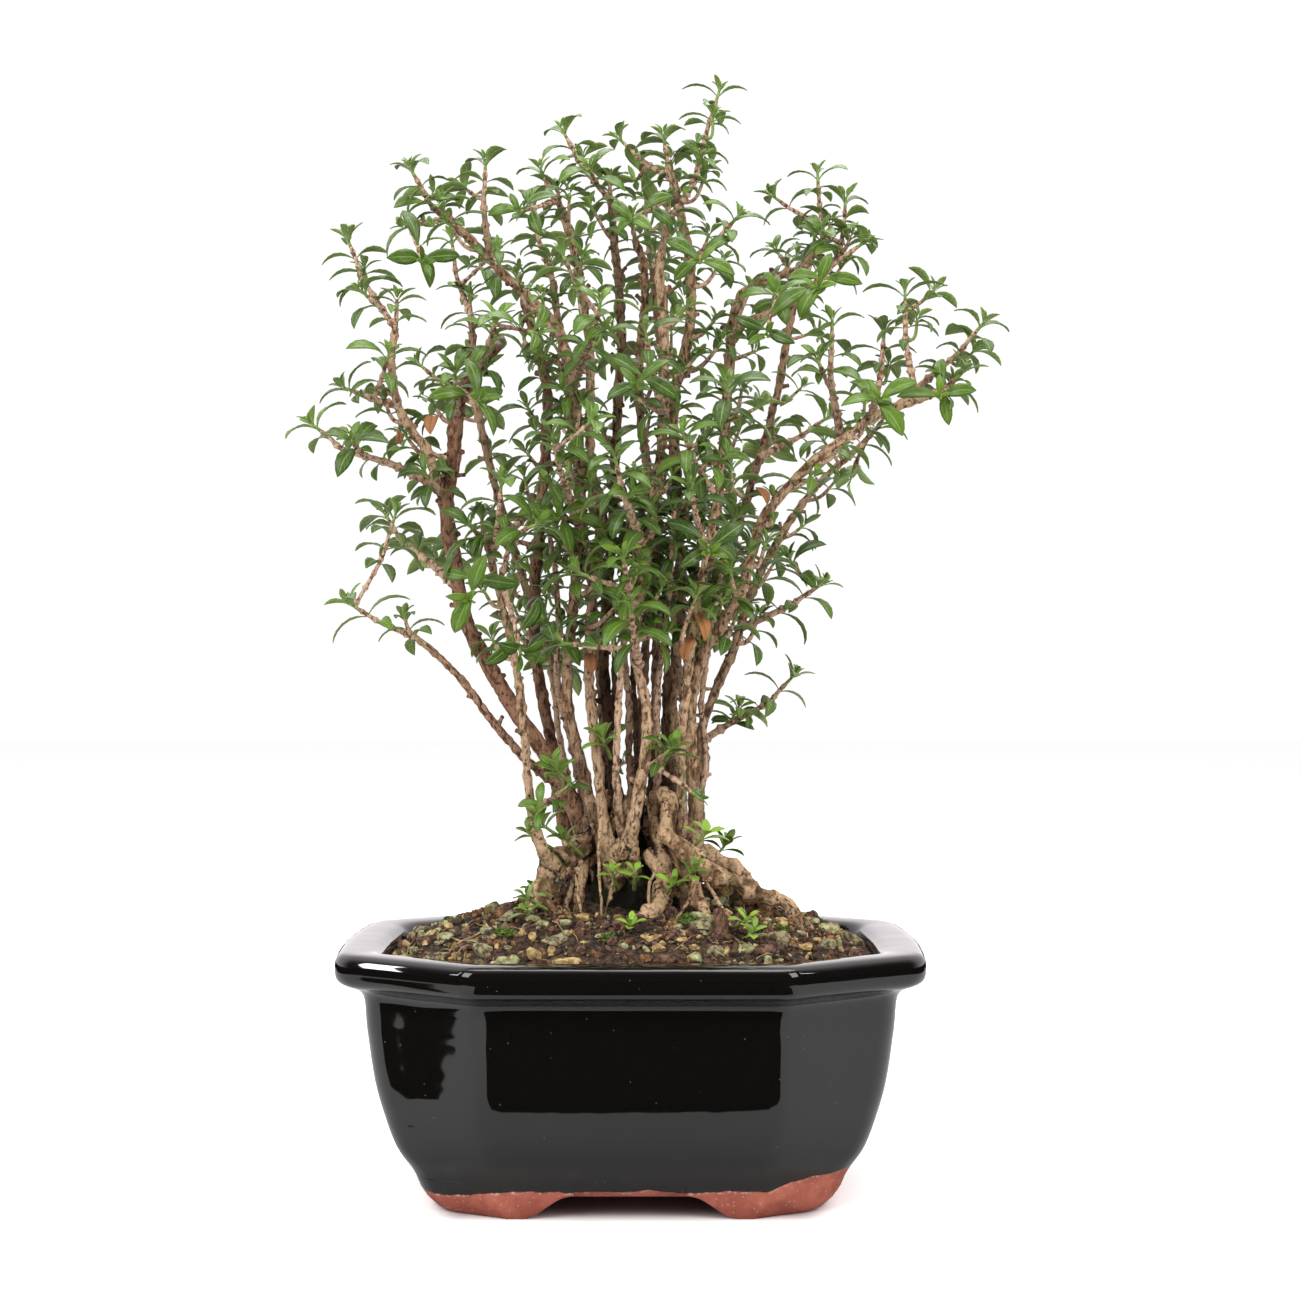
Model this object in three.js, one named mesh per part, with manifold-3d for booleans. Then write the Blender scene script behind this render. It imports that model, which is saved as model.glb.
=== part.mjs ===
// Serissa bonsai standing in an eight-sided glazed pot.
// Units are millimetres and +Z is up. The pot's front faces -Y and its long side runs along X.
// All places below are measured from the middle of the pot's footprint, on the surface that it
// stands on. The finished meshes are moved so that the origin is the middle of the whole outline.

import * as THREE from 'three';
import Module from 'manifold-3d';

const wasm = await Module();
wasm.setup();

// ---------------------------------------------------------------- driving dimensions

const FIT_GAP = 0.3; // clearance between neighbouring pieces
const OUTLINE_MIDDLE = [6, 5.6]; // x and y of the whole outline's middle, from the pot's middle
const WALL_GAP = 0.45; // clearance between the soil and the pot's sloping wall

// Pot: the rim's outline, and how far each level of the wall stands inside it.
const RIM_HALF_WIDTH = 80;
const RIM_HALF_DEPTH = 62;
const FRONT_CORNER_X = 42; // where the rim's front edge meets the corner facet
const SIDE_CORNER_Y = 38; // where the rim's side edge meets the corner facet
const POT_CORNER_RADIUS = 9;
const POT_CORNER_STEPS = 2;
const POT_FLOOR = 13;
const POT_OUTSIDE = [ // [inset, height] from the underside up to the lip's inner edge
  [24, 6], [22.4, 7.8], [20.8, 10.6], [16, 18], [11.3, 32], [8.8, 47], [7, 56], [7.6, 59.4],
  [1.4, 61.2], [0, 63.6], [0.6, 66.4], [2.8, 68], [11.4, 68], [13.4, 65.6],
];
const POT_INSIDE = [[14, 58], [18.2, 33], [27, POT_FLOOR]]; // from below the lip down to the floor

// Feet: a rib under each corner facet, level in its middle and scooped up at both ends.
const FOOT_TOP = 9;
const FOOT_INSET = 22.9;
const FOOT_THICKNESS = 11;
const FOOT_FRONT_END_X = 15;
const FOOT_SIDE_END_Y = 5;
const FOOT_SCOOP = [[0, 6.6], [3.4, 4.2], [6.6, 1.4], [10, 0]]; // [distance from the end, height]

const DRAIN_X = 25;
const DRAIN_RADIUS = 7;
const DRAIN_SIDES = 14;
const SCREEN_SIZE = 24;
const SCREEN_THICKNESS = 0.8;
const SCREEN_HOLE = 5;
const SCREEN_PITCH = 7.4;
const SCREEN_ROWS = 2;

// Soil: a flat-topped mound that falls to the rim's inner edge.
const SOIL_EDGE = 64;
const SOIL_RISE = 13.6;
const SOIL_FALLOFF = 4.5;
const SOIL_RINGS = [1, 0.93, 0.84, 0.72, 0.55, 0.3]; // share of the way out to the wall
const PEBBLE_COUNT = 12;
const PEBBLE_RADII = [2, 3.8];
const PEBBLE_TRIES = 200;
const PEBBLE_CLEAR_OF_WOOD = 26;
const PEBBLE_SHARES = [0.3, 0.88]; // least and most share of the way out to the wall
const PEBBLE_SCATTER = 7;
const PEBBLE_SPACING = 1.2;
const PEBBLE_SHAPE = [1.15, 0.95, 0.7];
const PEBBLE_SHOWING = 0.12; // share of its radius that a pebble's middle stands above the soil
const PEBBLE_FIELD_INSET = 16; // from the rim's outline to the edge of the soil
const PEBBLE_FIELD_LIMIT = 0.93;
const PEBBLE_SEED = 41;

// Root crown: [height, middle x, middle y, half width, half depth] of each level.
const CROWN = [
  [66, 1, 0, 12, 11], [74, 1, 0, 18, 17], [80, 0, 0, 21, 19], [88, 0, 1, 19, 17],
  [97, 0, 2, 17, 15], [104, 1, 2, 11, 10],
];
const CROWN_SIDES = 12;
const CROWN_LOBES = 5; // ridges that run down the crown between the roots
const CROWN_LOBE_DEPTH = 0.09;
const CROWN_LOBE_TWIST = 0.4; // radians from one level to the next

// Surface roots: [x, y, z, radius] along each root, ending inside the soil.
const ROOTS = {
  left_arch: [
    [-9, -2, 98, 3.6], [-16, -5, 94, 3.2], [-22, -9, 91, 2.8], [-25, -12, 86, 2.5],
    [-24, -15, 81, 2.1], [-19, -17, 76, 1.7], [-16, -18, 69, 1.3],
  ],
  left_inner: [[-8, 0, 94, 2.4], [-14, -4, 88, 1.8], [-18, -7, 80, 1.4], [-20, -8, 70, 1.1]],
  right_knee: [
    [5, -4, 108, 2.6], [9, -9, 111, 2.8], [11, -12, 107, 2.9], [10, -14, 100, 3], [15, -15, 95, 3.2],
    [21, -15, 90, 2.9], [30, -14, 86, 2.7], [38, -12, 82, 2.3], [45, -11, 79, 1.8], [49, -11, 68, 1.2],
  ],
  right_back: [[13, 0, 95, 3.2], [23, -2, 92, 2.4], [30, -3, 89, 2.2], [37, -4, 80, 1.7], [41, -4, 69, 1.2]],
  front_stub: [[6, -7, 94, 3.2], [9, -14, 87, 2.7], [7, -21, 81, 2.6], [2, -26, 77, 2.3], [-2, -29, 69, 1.6]],
  front_right: [[14, -12, 93, 2.6], [18, -18, 84, 2], [22, -23, 76, 1.4], [24, -25, 69, 1.1]],
  front_left: [[-5, -8, 95, 2.8], [-5, -15, 87, 2.2], [-7, -21, 79, 1.7], [-9, -25, 69, 1.1]],
  back_left: [[-8, 10, 94, 3.2], [-18, 18, 88, 2.6], [-25, 25, 81, 2.1], [-30, 30, 69, 1.3]],
  back_right: [[9, 12, 94, 3.2], [16, 23, 87, 2.6], [19, 33, 80, 2.1], [20, 39, 69, 1.3]],
  back_middle: [[0, 14, 92, 2.8], [-1, 25, 84, 2.2], [-4, 33, 77, 1.6], [-6, 38, 68, 1.1]],
};

// Stems and the limbs that fork off them: points along each, and its radius at both ends.
const STEMS = {
  cut_stem: {
    radii: [3.6, 2.1],
    route: [
      [-8, 4, 86], [-13, 2, 99], [-17, 0, 108], [-21, -1, 115], [-26, -2, 124], [-33, -3, 134],
      [-42, -5, 150], [-47, -6, 161], [-50, -6, 177], [-52, -6, 192], [-50, -6, 203], [-49, -6, 219],
      [-44, -7, 229], [-37, -8, 238],
    ],
  },
  low_left_limb: {
    radii: [1.7, 1],
    route: [
      [-20, -1, 112], [-28, -8, 119], [-37, -10, 129], [-45, -12, 140], [-51, -13, 147], [-59, -14, 154],
    ],
  },
  high_left_limb: {
    radii: [1.8, 1],
    route: [
      [-52, -6, 190], [-57, -8, 206], [-61, -9, 212], [-65, -10, 219], [-67, -10, 231], [-66, -10, 241],
    ],
  },
  pale_left_stem: {
    radii: [1.9, 1.1],
    route: [
      [-20, -9, 89], [-25, -14, 96], [-28, -15, 109], [-30, -15, 133], [-33, -16, 153], [-36, -17, 165],
      [-40, -18, 181],
    ],
  },
  straight_left_stem: {
    radii: [2.6, 1.3],
    route: [
      [-10, 6, 84], [-19, 7, 99], [-23, 6, 124], [-27, 6, 146], [-28, 6, 164], [-25, 4, 201],
      [-24, 4, 219], [-25, 4, 231], [-31, 8, 252],
    ],
  },
  crooked_stem: {
    radii: [2.4, 1.1],
    route: [
      [-5, -3, 86], [-9, -5, 100], [-13, -4, 114], [-18, -5, 137], [-17, -5, 157], [-15, -3, 178],
      [-14, 0, 196], [-16, 0, 221], [-20, 0, 240], [-27, 0, 249], [-37, -4, 258], [-51, -8, 272],
    ],
  },
  front_left_stem: {
    radii: [2.2, 1],
    route: [
      [-4, -6, 88], [-7, -9, 99], [-10, -9, 124], [-12, -9, 146], [-11, -7, 165], [-9, -3, 181],
      [-12, 3, 211], [-12, 6, 237], [-16, 6, 263], [-20, 5, 277],
    ],
  },
  middle_stem: {
    radii: [2.7, 1],
    route: [
      [-2, 1, 88], [-3, 2, 100], [-7, 8, 132], [-8, 12, 154], [-6, 14, 182], [-4, 14, 224],
      [-3, 12, 244], [-6, 8, 280],
    ],
  },
  forked_stem: {
    radii: [2.4, 1],
    route: [
      [0, -6, 88], [0, -11, 99], [4, -13, 122], [4, -13, 135], [1, -12, 154], [5, -8, 182], [9, -4, 216],
      [9, -4, 244], [8, -6, 258], [10, -6, 271],
    ],
  },
  inner_stem: {
    radii: [2.1, 0.9],
    route: [[3, 0, 88], [5, -1, 99], [7, 1, 146], [6, 4, 188], [2, 9, 226], [4, 12, 257], [1, 12, 270]],
  },
  tall_stem: {
    radii: [2.5, 1],
    route: [
      [6, 5, 86], [9, 7, 98], [12, 6, 142], [14, 6, 165], [13, 5, 194], [12, 3, 221], [16, 2, 239],
      [17, 0, 259], [15, -1, 270], [12, -1, 284],
    ],
  },
  front_right_stem: {
    radii: [2, 1],
    route: [
      [10, -4, 88], [14, -8, 98], [14, -11, 126], [17, -12, 154], [21, -11, 178], [24, -12, 193],
      [26, -18, 216],
    ],
  },
  leaning_right_stem: {
    radii: [2.6, 1.1],
    route: [
      [13, -1, 84], [18, -2, 97], [17, -4, 121], [17, -5, 138], [21, -7, 151], [30, -10, 166],
      [34, -11, 179], [37, -12, 188], [49, -13, 202], [61, -13, 211], [70, -13, 217], [86, -11, 223],
    ],
  },
  low_right_stem: {
    radii: [2.1, 1],
    route: [
      [12, 5, 86], [19, 8, 98], [20, 10, 127], [29, 12, 150], [35, 16, 168], [44, 18, 185],
      [54, 22, 199], [68, 26, 212],
    ],
  },
  high_right_stem: {
    radii: [2.4, 0.9],
    route: [
      [8, 12, 86], [12, 17, 98], [17, 22, 139], [20, 22, 160], [26, 18, 201], [28, 12, 231],
      [31, 10, 252], [41, 8, 258], [49, 7, 261], [55, 6, 269],
    ],
  },
  high_right_limb: {
    radii: [1.3, 0.8],
    route: [[29, 11, 240], [33, 6, 245], [47, 0, 250], [59, -2, 263]],
  },
  back_left_stem: {
    radii: [2.3, 1],
    route: [[-5, 11, 86], [-7, 16, 99], [-9, 26, 136], [-12, 32, 166], [-19, 38, 226], [-24, 37, 262]],
  },
  back_middle_stem: {
    radii: [2.3, 1],
    route: [[1, 11, 86], [2, 17, 98], [3, 29, 136], [5, 35, 166], [9, 42, 227], [6, 40, 266]],
  },
  back_right_stem: {
    radii: [2.2, 1],
    route: [[7, 13, 84], [12, 23, 97], [18, 36, 136], [25, 42, 166], [42, 48, 221], [49, 46, 256]],
  },
  back_far_left_stem: {
    radii: [2.1, 1],
    route: [[-8, 10, 84], [-12, 19, 97], [-21, 30, 136], [-31, 36, 166], [-46, 42, 218], [-49, 41, 252]],
  },
};
const THICK_STEM_RADIUS = 2.6;
const THICK_STEM_SIDES = 6;
const THIN_STEM_SIDES = 5;

const STUB = [[24, -30, 67, 1.9], [24.4, -30.3, 75.4, 2.05], [23.8, -30.6, 81, 1.5]]; // x, y, z, radius
const STUB_SIDES = 7;

// Sprays: the tips that each spray's shoots reach. The first tip is the spray's own twig and the
// others are side shoots of it.
const LEFT_SPRAYS = [
  [[-78, -18, 164], [-65, -16, 189]],
  [[-89, -12, 214], [-76, -26, 208]],
  [[-63, -12, 269], [-57, -22, 257]],
  [[-80, -6, 267], [-75, -14, 251]],
  [[-80, -14, 224], [-66, -24, 232]],
  [[-48, -24, 227], [-41, -30, 218]],
  [[-44, -26, 185], [-43, -30, 165]],
  [[-62, -10, 286], [-56, -2, 280]],
  [[-41, -6, 289], [-48, 2, 283]],
];
const TOP_SPRAYS = [
  [[-26, 0, 288], [-31, -12, 273]],
  [[-20, 4, 300], [-12, -4, 287]],
  [[-4, 6, 298], [1, 14, 287]],
  [[9, -6, 296], [0, -20, 269]],
  [[25, 0, 310], [19, -8, 289]],
  [[30, -12, 272], [19, -22, 257]],
  [[53, 2, 287], [40, 8, 282]],
  [[61, 2, 280], [53, -10, 268]],
  [[66, -6, 266], [52, -16, 251]],
  [[40, -18, 249], [37, -24, 237]],
];
const RIGHT_SPRAYS = [
  [[93, -12, 229], [85, -20, 220]],
  [[76, -14, 251], [85, -8, 252]],
  [[99, -8, 243]],
  [[71, -8, 241], [68, -24, 219]],
  [[56, -12, 243], [51, -22, 231]],
  [[55, 10, 170], [45, 2, 177]],
  [[76, 28, 222], [65, 30, 202]],
];
const FRONT_SPRAYS = [
  [[-21, -34, 209], [-10, -40, 212]],
  [[-4, -44, 202], [0, -36, 192]],
  [[14, -34, 209], [26, -30, 203]],
  [[16, -38, 194], [21, -32, 177]],
  [[26, -36, 222], [36, -24, 218]],
  [[-36, -28, 241], [-25, -34, 236]],
  [[-35, -28, 197], [-25, -32, 185]],
  [[-33, -24, 181], [-30, -26, 150]],
  [[-2, -38, 176], [-14, -30, 172]],
  [[0, -36, 163], [-19, -26, 153]],
  [[4, -32, 237], [2, -38, 221]],
  [[-8, -32, 245], [-19, -24, 260]],
];
const BACK_TOP_SPRAYS = [
  [[-30, 40, 287], [-17, 46, 277]],
  [[4, 42, 294], [14, 34, 284]],
  [[56, 46, 279], [43, 38, 272]],
  [[-55, 42, 276], [-42, 33, 270]],
];
const LOW_TUFTS = [
  [[-17, -23, 114], [-25, -24, 107]],
  [[11, -20, 124], [19, -18, 110]],
];

// The far side is filled by a rule: tips spread over the canopy's shape by the golden angle.
const BACK_SPRAY_COUNT = 9;
const BACK_ARC = [14, 166]; // degrees round from the right side
const BACK_TIP_SPREAD = { turn: 15, rise: -13, reach: 0.97 };
const GOLDEN_TURN = 0.618034;
const CANOPY = [ // [height, half width, half depth] of the canopy's far side
  [120, 38, 44], [150, 62, 58], [185, 74, 64], [215, 86, 68], [240, 86, 66], [262, 74, 60],
];

// Twigs
const TWIG_BASE_RADIUS = 1.15;
const TWIG_TIP_RADIUS = 0.62;
const TWIG_SIDES = 4;
const TWIG_STEP = 17; // longest straight piece of a twig
const TWIG_CLEARANCE = 1.9;
const START_ZONE = 9; // a twig may come close to the wood that it grows from, this near its start
const START_SPACING = 7;
const PARENT_TRIES = 4;
const PARENT_DROP = 0.55; // a twig best starts this share of its reach below its tip
const PARENT_DROP_COST = 1.3;
const CROWDING_COST = 3;
const TWIG_SHARE = 0.85; // most of its parent's radius that a twig starts with
const TWIG_LEAVING = { out: 0.75, up: 0.66, pull: 0.36 };
const TWIG_ARRIVING = { out: 0.45, up: 0.89, pull: 0.3 };
const SAMPLES_PER_SPAN = 5;
const TWIG_BOWS = [0, 3, -3, 6, -6, 9, -9]; // sideways bows tried, in order, to pass other wood
const SIDE_SHOOT_RANGE = [0.25, 0.82]; // where along a twig its side shoots may leave

// Leaves: opposite pairs, each pair a quarter turn from the last, arching over as they go out. A
// leaf grows out of one side of a short band of its twig.
const LEAF_LENGTH = 12;
const LEAF_LENGTH_SPREAD = 0.16;
const LEAF_WIDTH = 4.8;
const LEAF_KEEL = 0.62;
const LEAF_FOLD = 0.3;
const EDGE_GROWTH = 1.4; // a sharp edge grows this much more than a face, for an even clearance
const TIP_GROWTH = 1.6;
const LEAF_UP_LEAN = 0.45; // how far a leafy tip turns from its twig's line to the upright
const LEAF_BANDS = [
  // below: distance from the tip; rise and bend: degrees; levels: [share of length, of width]
  { below: 6.4, rise: 34, bend: 84, side: 0, levels: [[0.48, 1]] },
  { below: 1.7, rise: 52, bend: 84, side: 1, levels: [[0.38, 1], [0.74, 0.7]] },
];
const LEAF_BAND_HEIGHT = 1;
const LEAF_BAND_MARGIN = 2.5; // least run of twig between a bend and the first band
const LEAF_RISE_SPREAD = 12;
const SHOOT_SPINS = [0, 30, 60]; // turns of a shoot's section that are tried, to clear other pieces
const LEAF_CLEARANCE = 0.38;
const LEAF_STALK = { share: 0.06, breadth: 0.25 }; // where the leaf's own test body starts
const CROSSING_COST = 0.6; // in leaves: what a leaf that crosses its own spray's twigs counts
const LEAF_SEED = 1000;
const LEAF_SEED_STEP = 10; // from one spray to the next

const COLORS = {
  pot: 0x1a1715,
  soil: 0x2e2620,
  wood: 0x8f7b66,
  screen: 0x20201f,
  leaf: 0x4d7a33,
  tuft: 0x37612b,
};

// ---------------------------------------------------------------- small helpers

const DEGREE = Math.PI / 180;
const UP = new THREE.Vector3(0, 0, 1);
const vec = (p) => new THREE.Vector3(p[0], p[1], p[2]);
const mix = (a, b, t) => a + (b - a) * t;

function seededRandom(seed) {
  let state = seed >>> 0;
  return () => {
    state = (state + 0x6d2b79f5) >>> 0;
    let t = Math.imul(state ^ (state >>> 15), state | 1);
    t ^= t + Math.imul(t ^ (t >>> 7), t | 61);
    return ((t ^ (t >>> 14)) >>> 0) / 4294967296;
  };
}

// A closed body through rings of equally many points. A ring of one point closes to a tip.
function loft(rings) {
  const sides = Math.max(...rings.map((ring) => ring.length));
  const points = rings.flat();
  const starts = [];
  let count = 0;
  for (const ring of rings) {
    starts.push(count);
    count += ring.length;
  }
  const triangles = [];
  for (let level = 0; level + 1 < rings.length; level += 1) {
    for (let side = 0; side < sides; side += 1) {
      const next = (side + 1) % sides;
      const at = (ring, index) => starts[ring] + (rings[ring].length === 1 ? 0 : index);
      const quad = [at(level, side), at(level, next), at(level + 1, next), at(level + 1, side)];
      if (quad[0] !== quad[1]) triangles.push([quad[0], quad[1], quad[2]]);
      if (quad[2] !== quad[3]) triangles.push([quad[0], quad[2], quad[3]]);
    }
  }
  const last = rings.length - 1;
  for (let side = 1; side + 1 < rings[0].length; side += 1) triangles.push([0, side + 1, side]);
  for (let side = 1; side + 1 < rings[last].length; side += 1) {
    triangles.push([starts[last], starts[last] + side, starts[last] + side + 1]);
  }
  return closedBody(points, triangles);
}

// Turns points and triangles into a solid whose faces point out.
function closedBody(points, triangles) {
  let volume = 0;
  for (const [a, b, c] of triangles) {
    volume += points[a].dot(new THREE.Vector3().crossVectors(points[b], points[c]));
  }
  const outward = volume > 0 ? triangles : triangles.map(([a, b, c]) => [a, c, b]);
  const vertProperties = new Float32Array(points.flatMap((p) => [p.x, p.y, p.z]));
  const triVerts = new Uint32Array(outward.flat());
  return new wasm.Manifold(new wasm.Mesh({ numProp: 3, vertProperties, triVerts }));
}

// A three.js geometry that is already closed, as a solid.
function solidOf(geometry) {
  const position = geometry.getAttribute('position');
  const points = [];
  const places = new Map();
  const merged = [];
  for (let i = 0; i < position.count; i += 1) {
    const point = new THREE.Vector3().fromBufferAttribute(position, i);
    const key = point.toArray().map((value) => Math.round(value * 1e4)).join(' ');
    if (!places.has(key)) {
      places.set(key, points.length);
      points.push(point);
    }
    merged.push(places.get(key));
  }
  const order = geometry.index ? [...geometry.index.array] : merged.map((_, i) => i);
  const triangles = [];
  for (let i = 0; i < order.length; i += 3) {
    const corners = [merged[order[i]], merged[order[i + 1]], merged[order[i + 2]]];
    if (new Set(corners).size === 3) triangles.push(corners);
  }
  return closedBody(points, triangles);
}

const joined = (solids) => solids.reduce((whole, solid) => whole.add(solid));

// The largest body of a solid: loose scraps and sealed hollows are left behind.
function largestBody(solid) {
  const bodies = solid.decompose();
  return bodies.reduce((best, body) => (body.volume() > best.volume() ? body : best));
}

function meshOf(name, solid, color, roughness) {
  const { vertProperties, triVerts } = largestBody(solid).getMesh();
  const geometry = new THREE.BufferGeometry();
  geometry.setAttribute('position', new THREE.BufferAttribute(new Float32Array(vertProperties), 3));
  geometry.setIndex(new THREE.BufferAttribute(new Uint32Array(triVerts), 1));
  geometry.translate(-OUTLINE_MIDDLE[0], -OUTLINE_MIDDLE[1], 0);
  geometry.computeVertexNormals();
  const material = new THREE.MeshStandardMaterial({ color, roughness, metalness: 0 });
  const mesh = new THREE.Mesh(geometry, material);
  mesh.name = name;
  return mesh;
}

// ---------------------------------------------------------------- tubes of wood

// Directions along a tube and across it at each point, turned as little as possible on the way.
function tubeFrames(points) {
  let side = null;
  return points.map((point, i) => {
    const before = points[Math.max(i - 1, 0)];
    const after = points[Math.min(i + 1, points.length - 1)];
    const along = new THREE.Vector3().subVectors(after, before).normalize();
    if (side === null) side = new THREE.Vector3(0, 1, 0).cross(along);
    side.addScaledVector(along, -side.dot(along)).normalize();
    return { along, side: side.clone(), other: new THREE.Vector3().crossVectors(along, side) };
  });
}

function tubeRings(points, radii, sides, spin) {
  return tubeFrames(points).map(({ side, other }, i) =>
    Array.from({ length: sides }, (_, k) => {
      const angle = spin + (2 * Math.PI * k) / sides;
      const point = points[i].clone().addScaledVector(side, radii[i] * Math.cos(angle));
      return point.addScaledVector(other, radii[i] * Math.sin(angle));
    }),
  );
}

// A tube that may be grown all round, ends included, for testing and cutting clearances.
function tube(points, radii, sides, grow = 0, spin = 0) {
  if (grow === 0) return loft(tubeRings(points, radii, sides, spin));
  const last = points.length - 1;
  const lengthened = points.map((point) => point.clone());
  const startPush = new THREE.Vector3().subVectors(points[0], points[1]).setLength(grow);
  const endPush = new THREE.Vector3().subVectors(points[last], points[last - 1]).setLength(grow);
  lengthened[0].add(startPush);
  lengthened[last].add(endPush);
  return loft(tubeRings(lengthened, radii.map((radius) => radius + grow), sides, spin));
}

function taperedRadii([start, end], count) {
  return Array.from({ length: count }, (_, i) => mix(start, end, i / (count - 1)));
}

function crownSolid(grow) {
  const rings = CROWN.map(([height, x, y, halfWidth, halfDepth], level) => {
    const rise = level === CROWN.length - 1 ? grow : 0;
    const ring = [];
    for (let k = 0; k < CROWN_SIDES; k += 1) {
      const angle = (2 * Math.PI * k) / CROWN_SIDES;
      const lobe = 1 + CROWN_LOBE_DEPTH * Math.cos(CROWN_LOBES * angle + CROWN_LOBE_TWIST * level);
      const px = x + (halfWidth * lobe + grow) * Math.cos(angle);
      const py = y + (halfDepth * lobe + grow) * Math.sin(angle);
      ring.push(new THREE.Vector3(px, py, height + rise - (level === 0 ? grow : 0)));
    }
    return ring;
  });
  return loft(rings);
}

// Crown, roots and stems: one grown piece of wood.
function woodSolid(grow) {
  const solids = [crownSolid(grow)];
  for (const route of Object.values(ROOTS)) {
    solids.push(tube(route.map(vec), route.map((point) => point[3]), THIN_STEM_SIDES, grow));
  }
  for (const { radii, route } of Object.values(STEMS)) {
    const sides = radii[0] > THICK_STEM_RADIUS ? THICK_STEM_SIDES : THIN_STEM_SIDES;
    solids.push(tube(route.map(vec), taperedRadii(radii, route.length), sides, grow));
  }
  return joined(solids);
}

// ---------------------------------------------------------------- pot

// The rim's eight straight edges as [direction of the outward normal, distance from the middle].
function rimEdges() {
  const facet = new THREE.Vector2(RIM_HALF_DEPTH - SIDE_CORNER_Y, RIM_HALF_WIDTH - FRONT_CORNER_X);
  const tilt = facet.angle();
  const reach = facet.normalize().dot(new THREE.Vector2(FRONT_CORNER_X, RIM_HALF_DEPTH));
  const quarter = [
    [0, RIM_HALF_WIDTH],
    [tilt, reach],
    [Math.PI / 2, RIM_HALF_DEPTH],
    [Math.PI - tilt, reach],
  ];
  return [...quarter, ...quarter.map(([angle, distance]) => [angle + Math.PI, distance])];
}

// The point where two edges meet, each moved in by the same inset.
function edgeCorner([angleA, distanceA], [angleB, distanceB], inset) {
  const a = distanceA - inset;
  const b = distanceB - inset;
  const cross = Math.sin(angleB - angleA);
  const x = (a * Math.sin(angleB) - b * Math.sin(angleA)) / cross;
  const y = (b * Math.cos(angleA) - a * Math.cos(angleB)) / cross;
  return new THREE.Vector2(x, y);
}

// The pot's rounded outline at one inset from the rim and one height.
function potOutline(inset, height) {
  const edges = rimEdges();
  const ring = [];
  for (let i = 0; i < edges.length; i += 1) {
    const next = edges[(i + 1) % edges.length];
    const turn = (next[0] - edges[i][0] + 2 * Math.PI) % (2 * Math.PI);
    const middle = edgeCorner(edges[i], next, inset + POT_CORNER_RADIUS);
    for (let step = 0; step <= POT_CORNER_STEPS; step += 1) {
      const angle = edges[i][0] + (turn * step) / POT_CORNER_STEPS;
      const x = middle.x + POT_CORNER_RADIUS * Math.cos(angle);
      const y = middle.y + POT_CORNER_RADIUS * Math.sin(angle);
      ring.push(new THREE.Vector3(x, y, height));
    }
  }
  return ring;
}

// One foot in the corner given by the signs of x and y.
function footSolid(signX, signY) {
  const outline = potOutline(FOOT_INSET, 0).filter((p) => p.x > 0 && p.y > 0);
  const side = outline[0].x;
  const front = outline[outline.length - 1].y;
  const scoop = FOOT_SCOOP.map(([run, height]) => ({ run, height }));
  const sideEnd = scoop.map(({ run, height }) => [side, FOOT_SIDE_END_Y + run, height, 0]);
  const frontEnd = scoop.map(({ run, height }) => [FOOT_FRONT_END_X + run, front, height, 90]);
  const corner = outline.map((p, i) => [p.x, p.y, 0, (90 * i) / (outline.length - 1)]);
  const stations = [...sideEnd, ...corner, ...frontEnd.reverse()];
  const rings = stations.map(([x, y, bottom, facing]) => {
    const inX = x - FOOT_THICKNESS * Math.cos(facing * DEGREE);
    const inY = y - FOOT_THICKNESS * Math.sin(facing * DEGREE);
    return [[x, y, bottom], [x, y, FOOT_TOP], [inX, inY, FOOT_TOP], [inX, inY, bottom]].map(
      (p) => new THREE.Vector3(p[0] * signX, p[1] * signY, p[2]),
    );
  });
  return loft(rings);
}

function drainHole(signX) {
  const hole = new THREE.CylinderGeometry(DRAIN_RADIUS, DRAIN_RADIUS, 4 * POT_FLOOR, DRAIN_SIDES);
  hole.rotateX(Math.PI / 2);
  hole.translate(signX * DRAIN_X, 0, 0);
  return solidOf(hole);
}

function potSolid() {
  let solid = loft([...POT_OUTSIDE, ...POT_INSIDE].map(([inset, height]) => potOutline(inset, height)));
  for (const signX of [-1, 1]) {
    for (const signY of [-1, 1]) solid = solid.add(footSolid(signX, signY));
  }
  return solid.subtract(drainHole(-1)).subtract(drainHole(1));
}

function boxSolid(width, depth, height, x, y, z) {
  const box = new THREE.BoxGeometry(width, depth, height);
  box.translate(x, y, z);
  return solidOf(box);
}

function screenSolid(signX) {
  const x = signX * DRAIN_X;
  const z = POT_FLOOR + FIT_GAP + SCREEN_THICKNESS / 2;
  let plate = boxSolid(SCREEN_SIZE, SCREEN_SIZE, SCREEN_THICKNESS, x, 0, z);
  const middle = (SCREEN_ROWS - 1) / 2;
  for (let row = 0; row < SCREEN_ROWS; row += 1) {
    for (let column = 0; column < SCREEN_ROWS; column += 1) {
      const holeX = x + (column - middle) * SCREEN_PITCH;
      const holeY = (row - middle) * SCREEN_PITCH;
      plate = plate.subtract(boxSolid(SCREEN_HOLE, SCREEN_HOLE, 2 * SCREEN_THICKNESS, holeX, holeY, z));
    }
  }
  return plate;
}

// ---------------------------------------------------------------- soil

// Height of the soil at a share of the way out to the wall, with gentle lumps.
function soilHeight(x, y, share) {
  const lumps = 0.8 * Math.sin(0.13 * x + 1) * Math.cos(0.16 * y) + 0.5 * Math.sin(0.31 * x - 0.27 * y);
  const rise = SOIL_RISE * (1 - share ** SOIL_FALLOFF);
  return SOIL_EDGE + rise + lumps * (1 - share);
}

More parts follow.
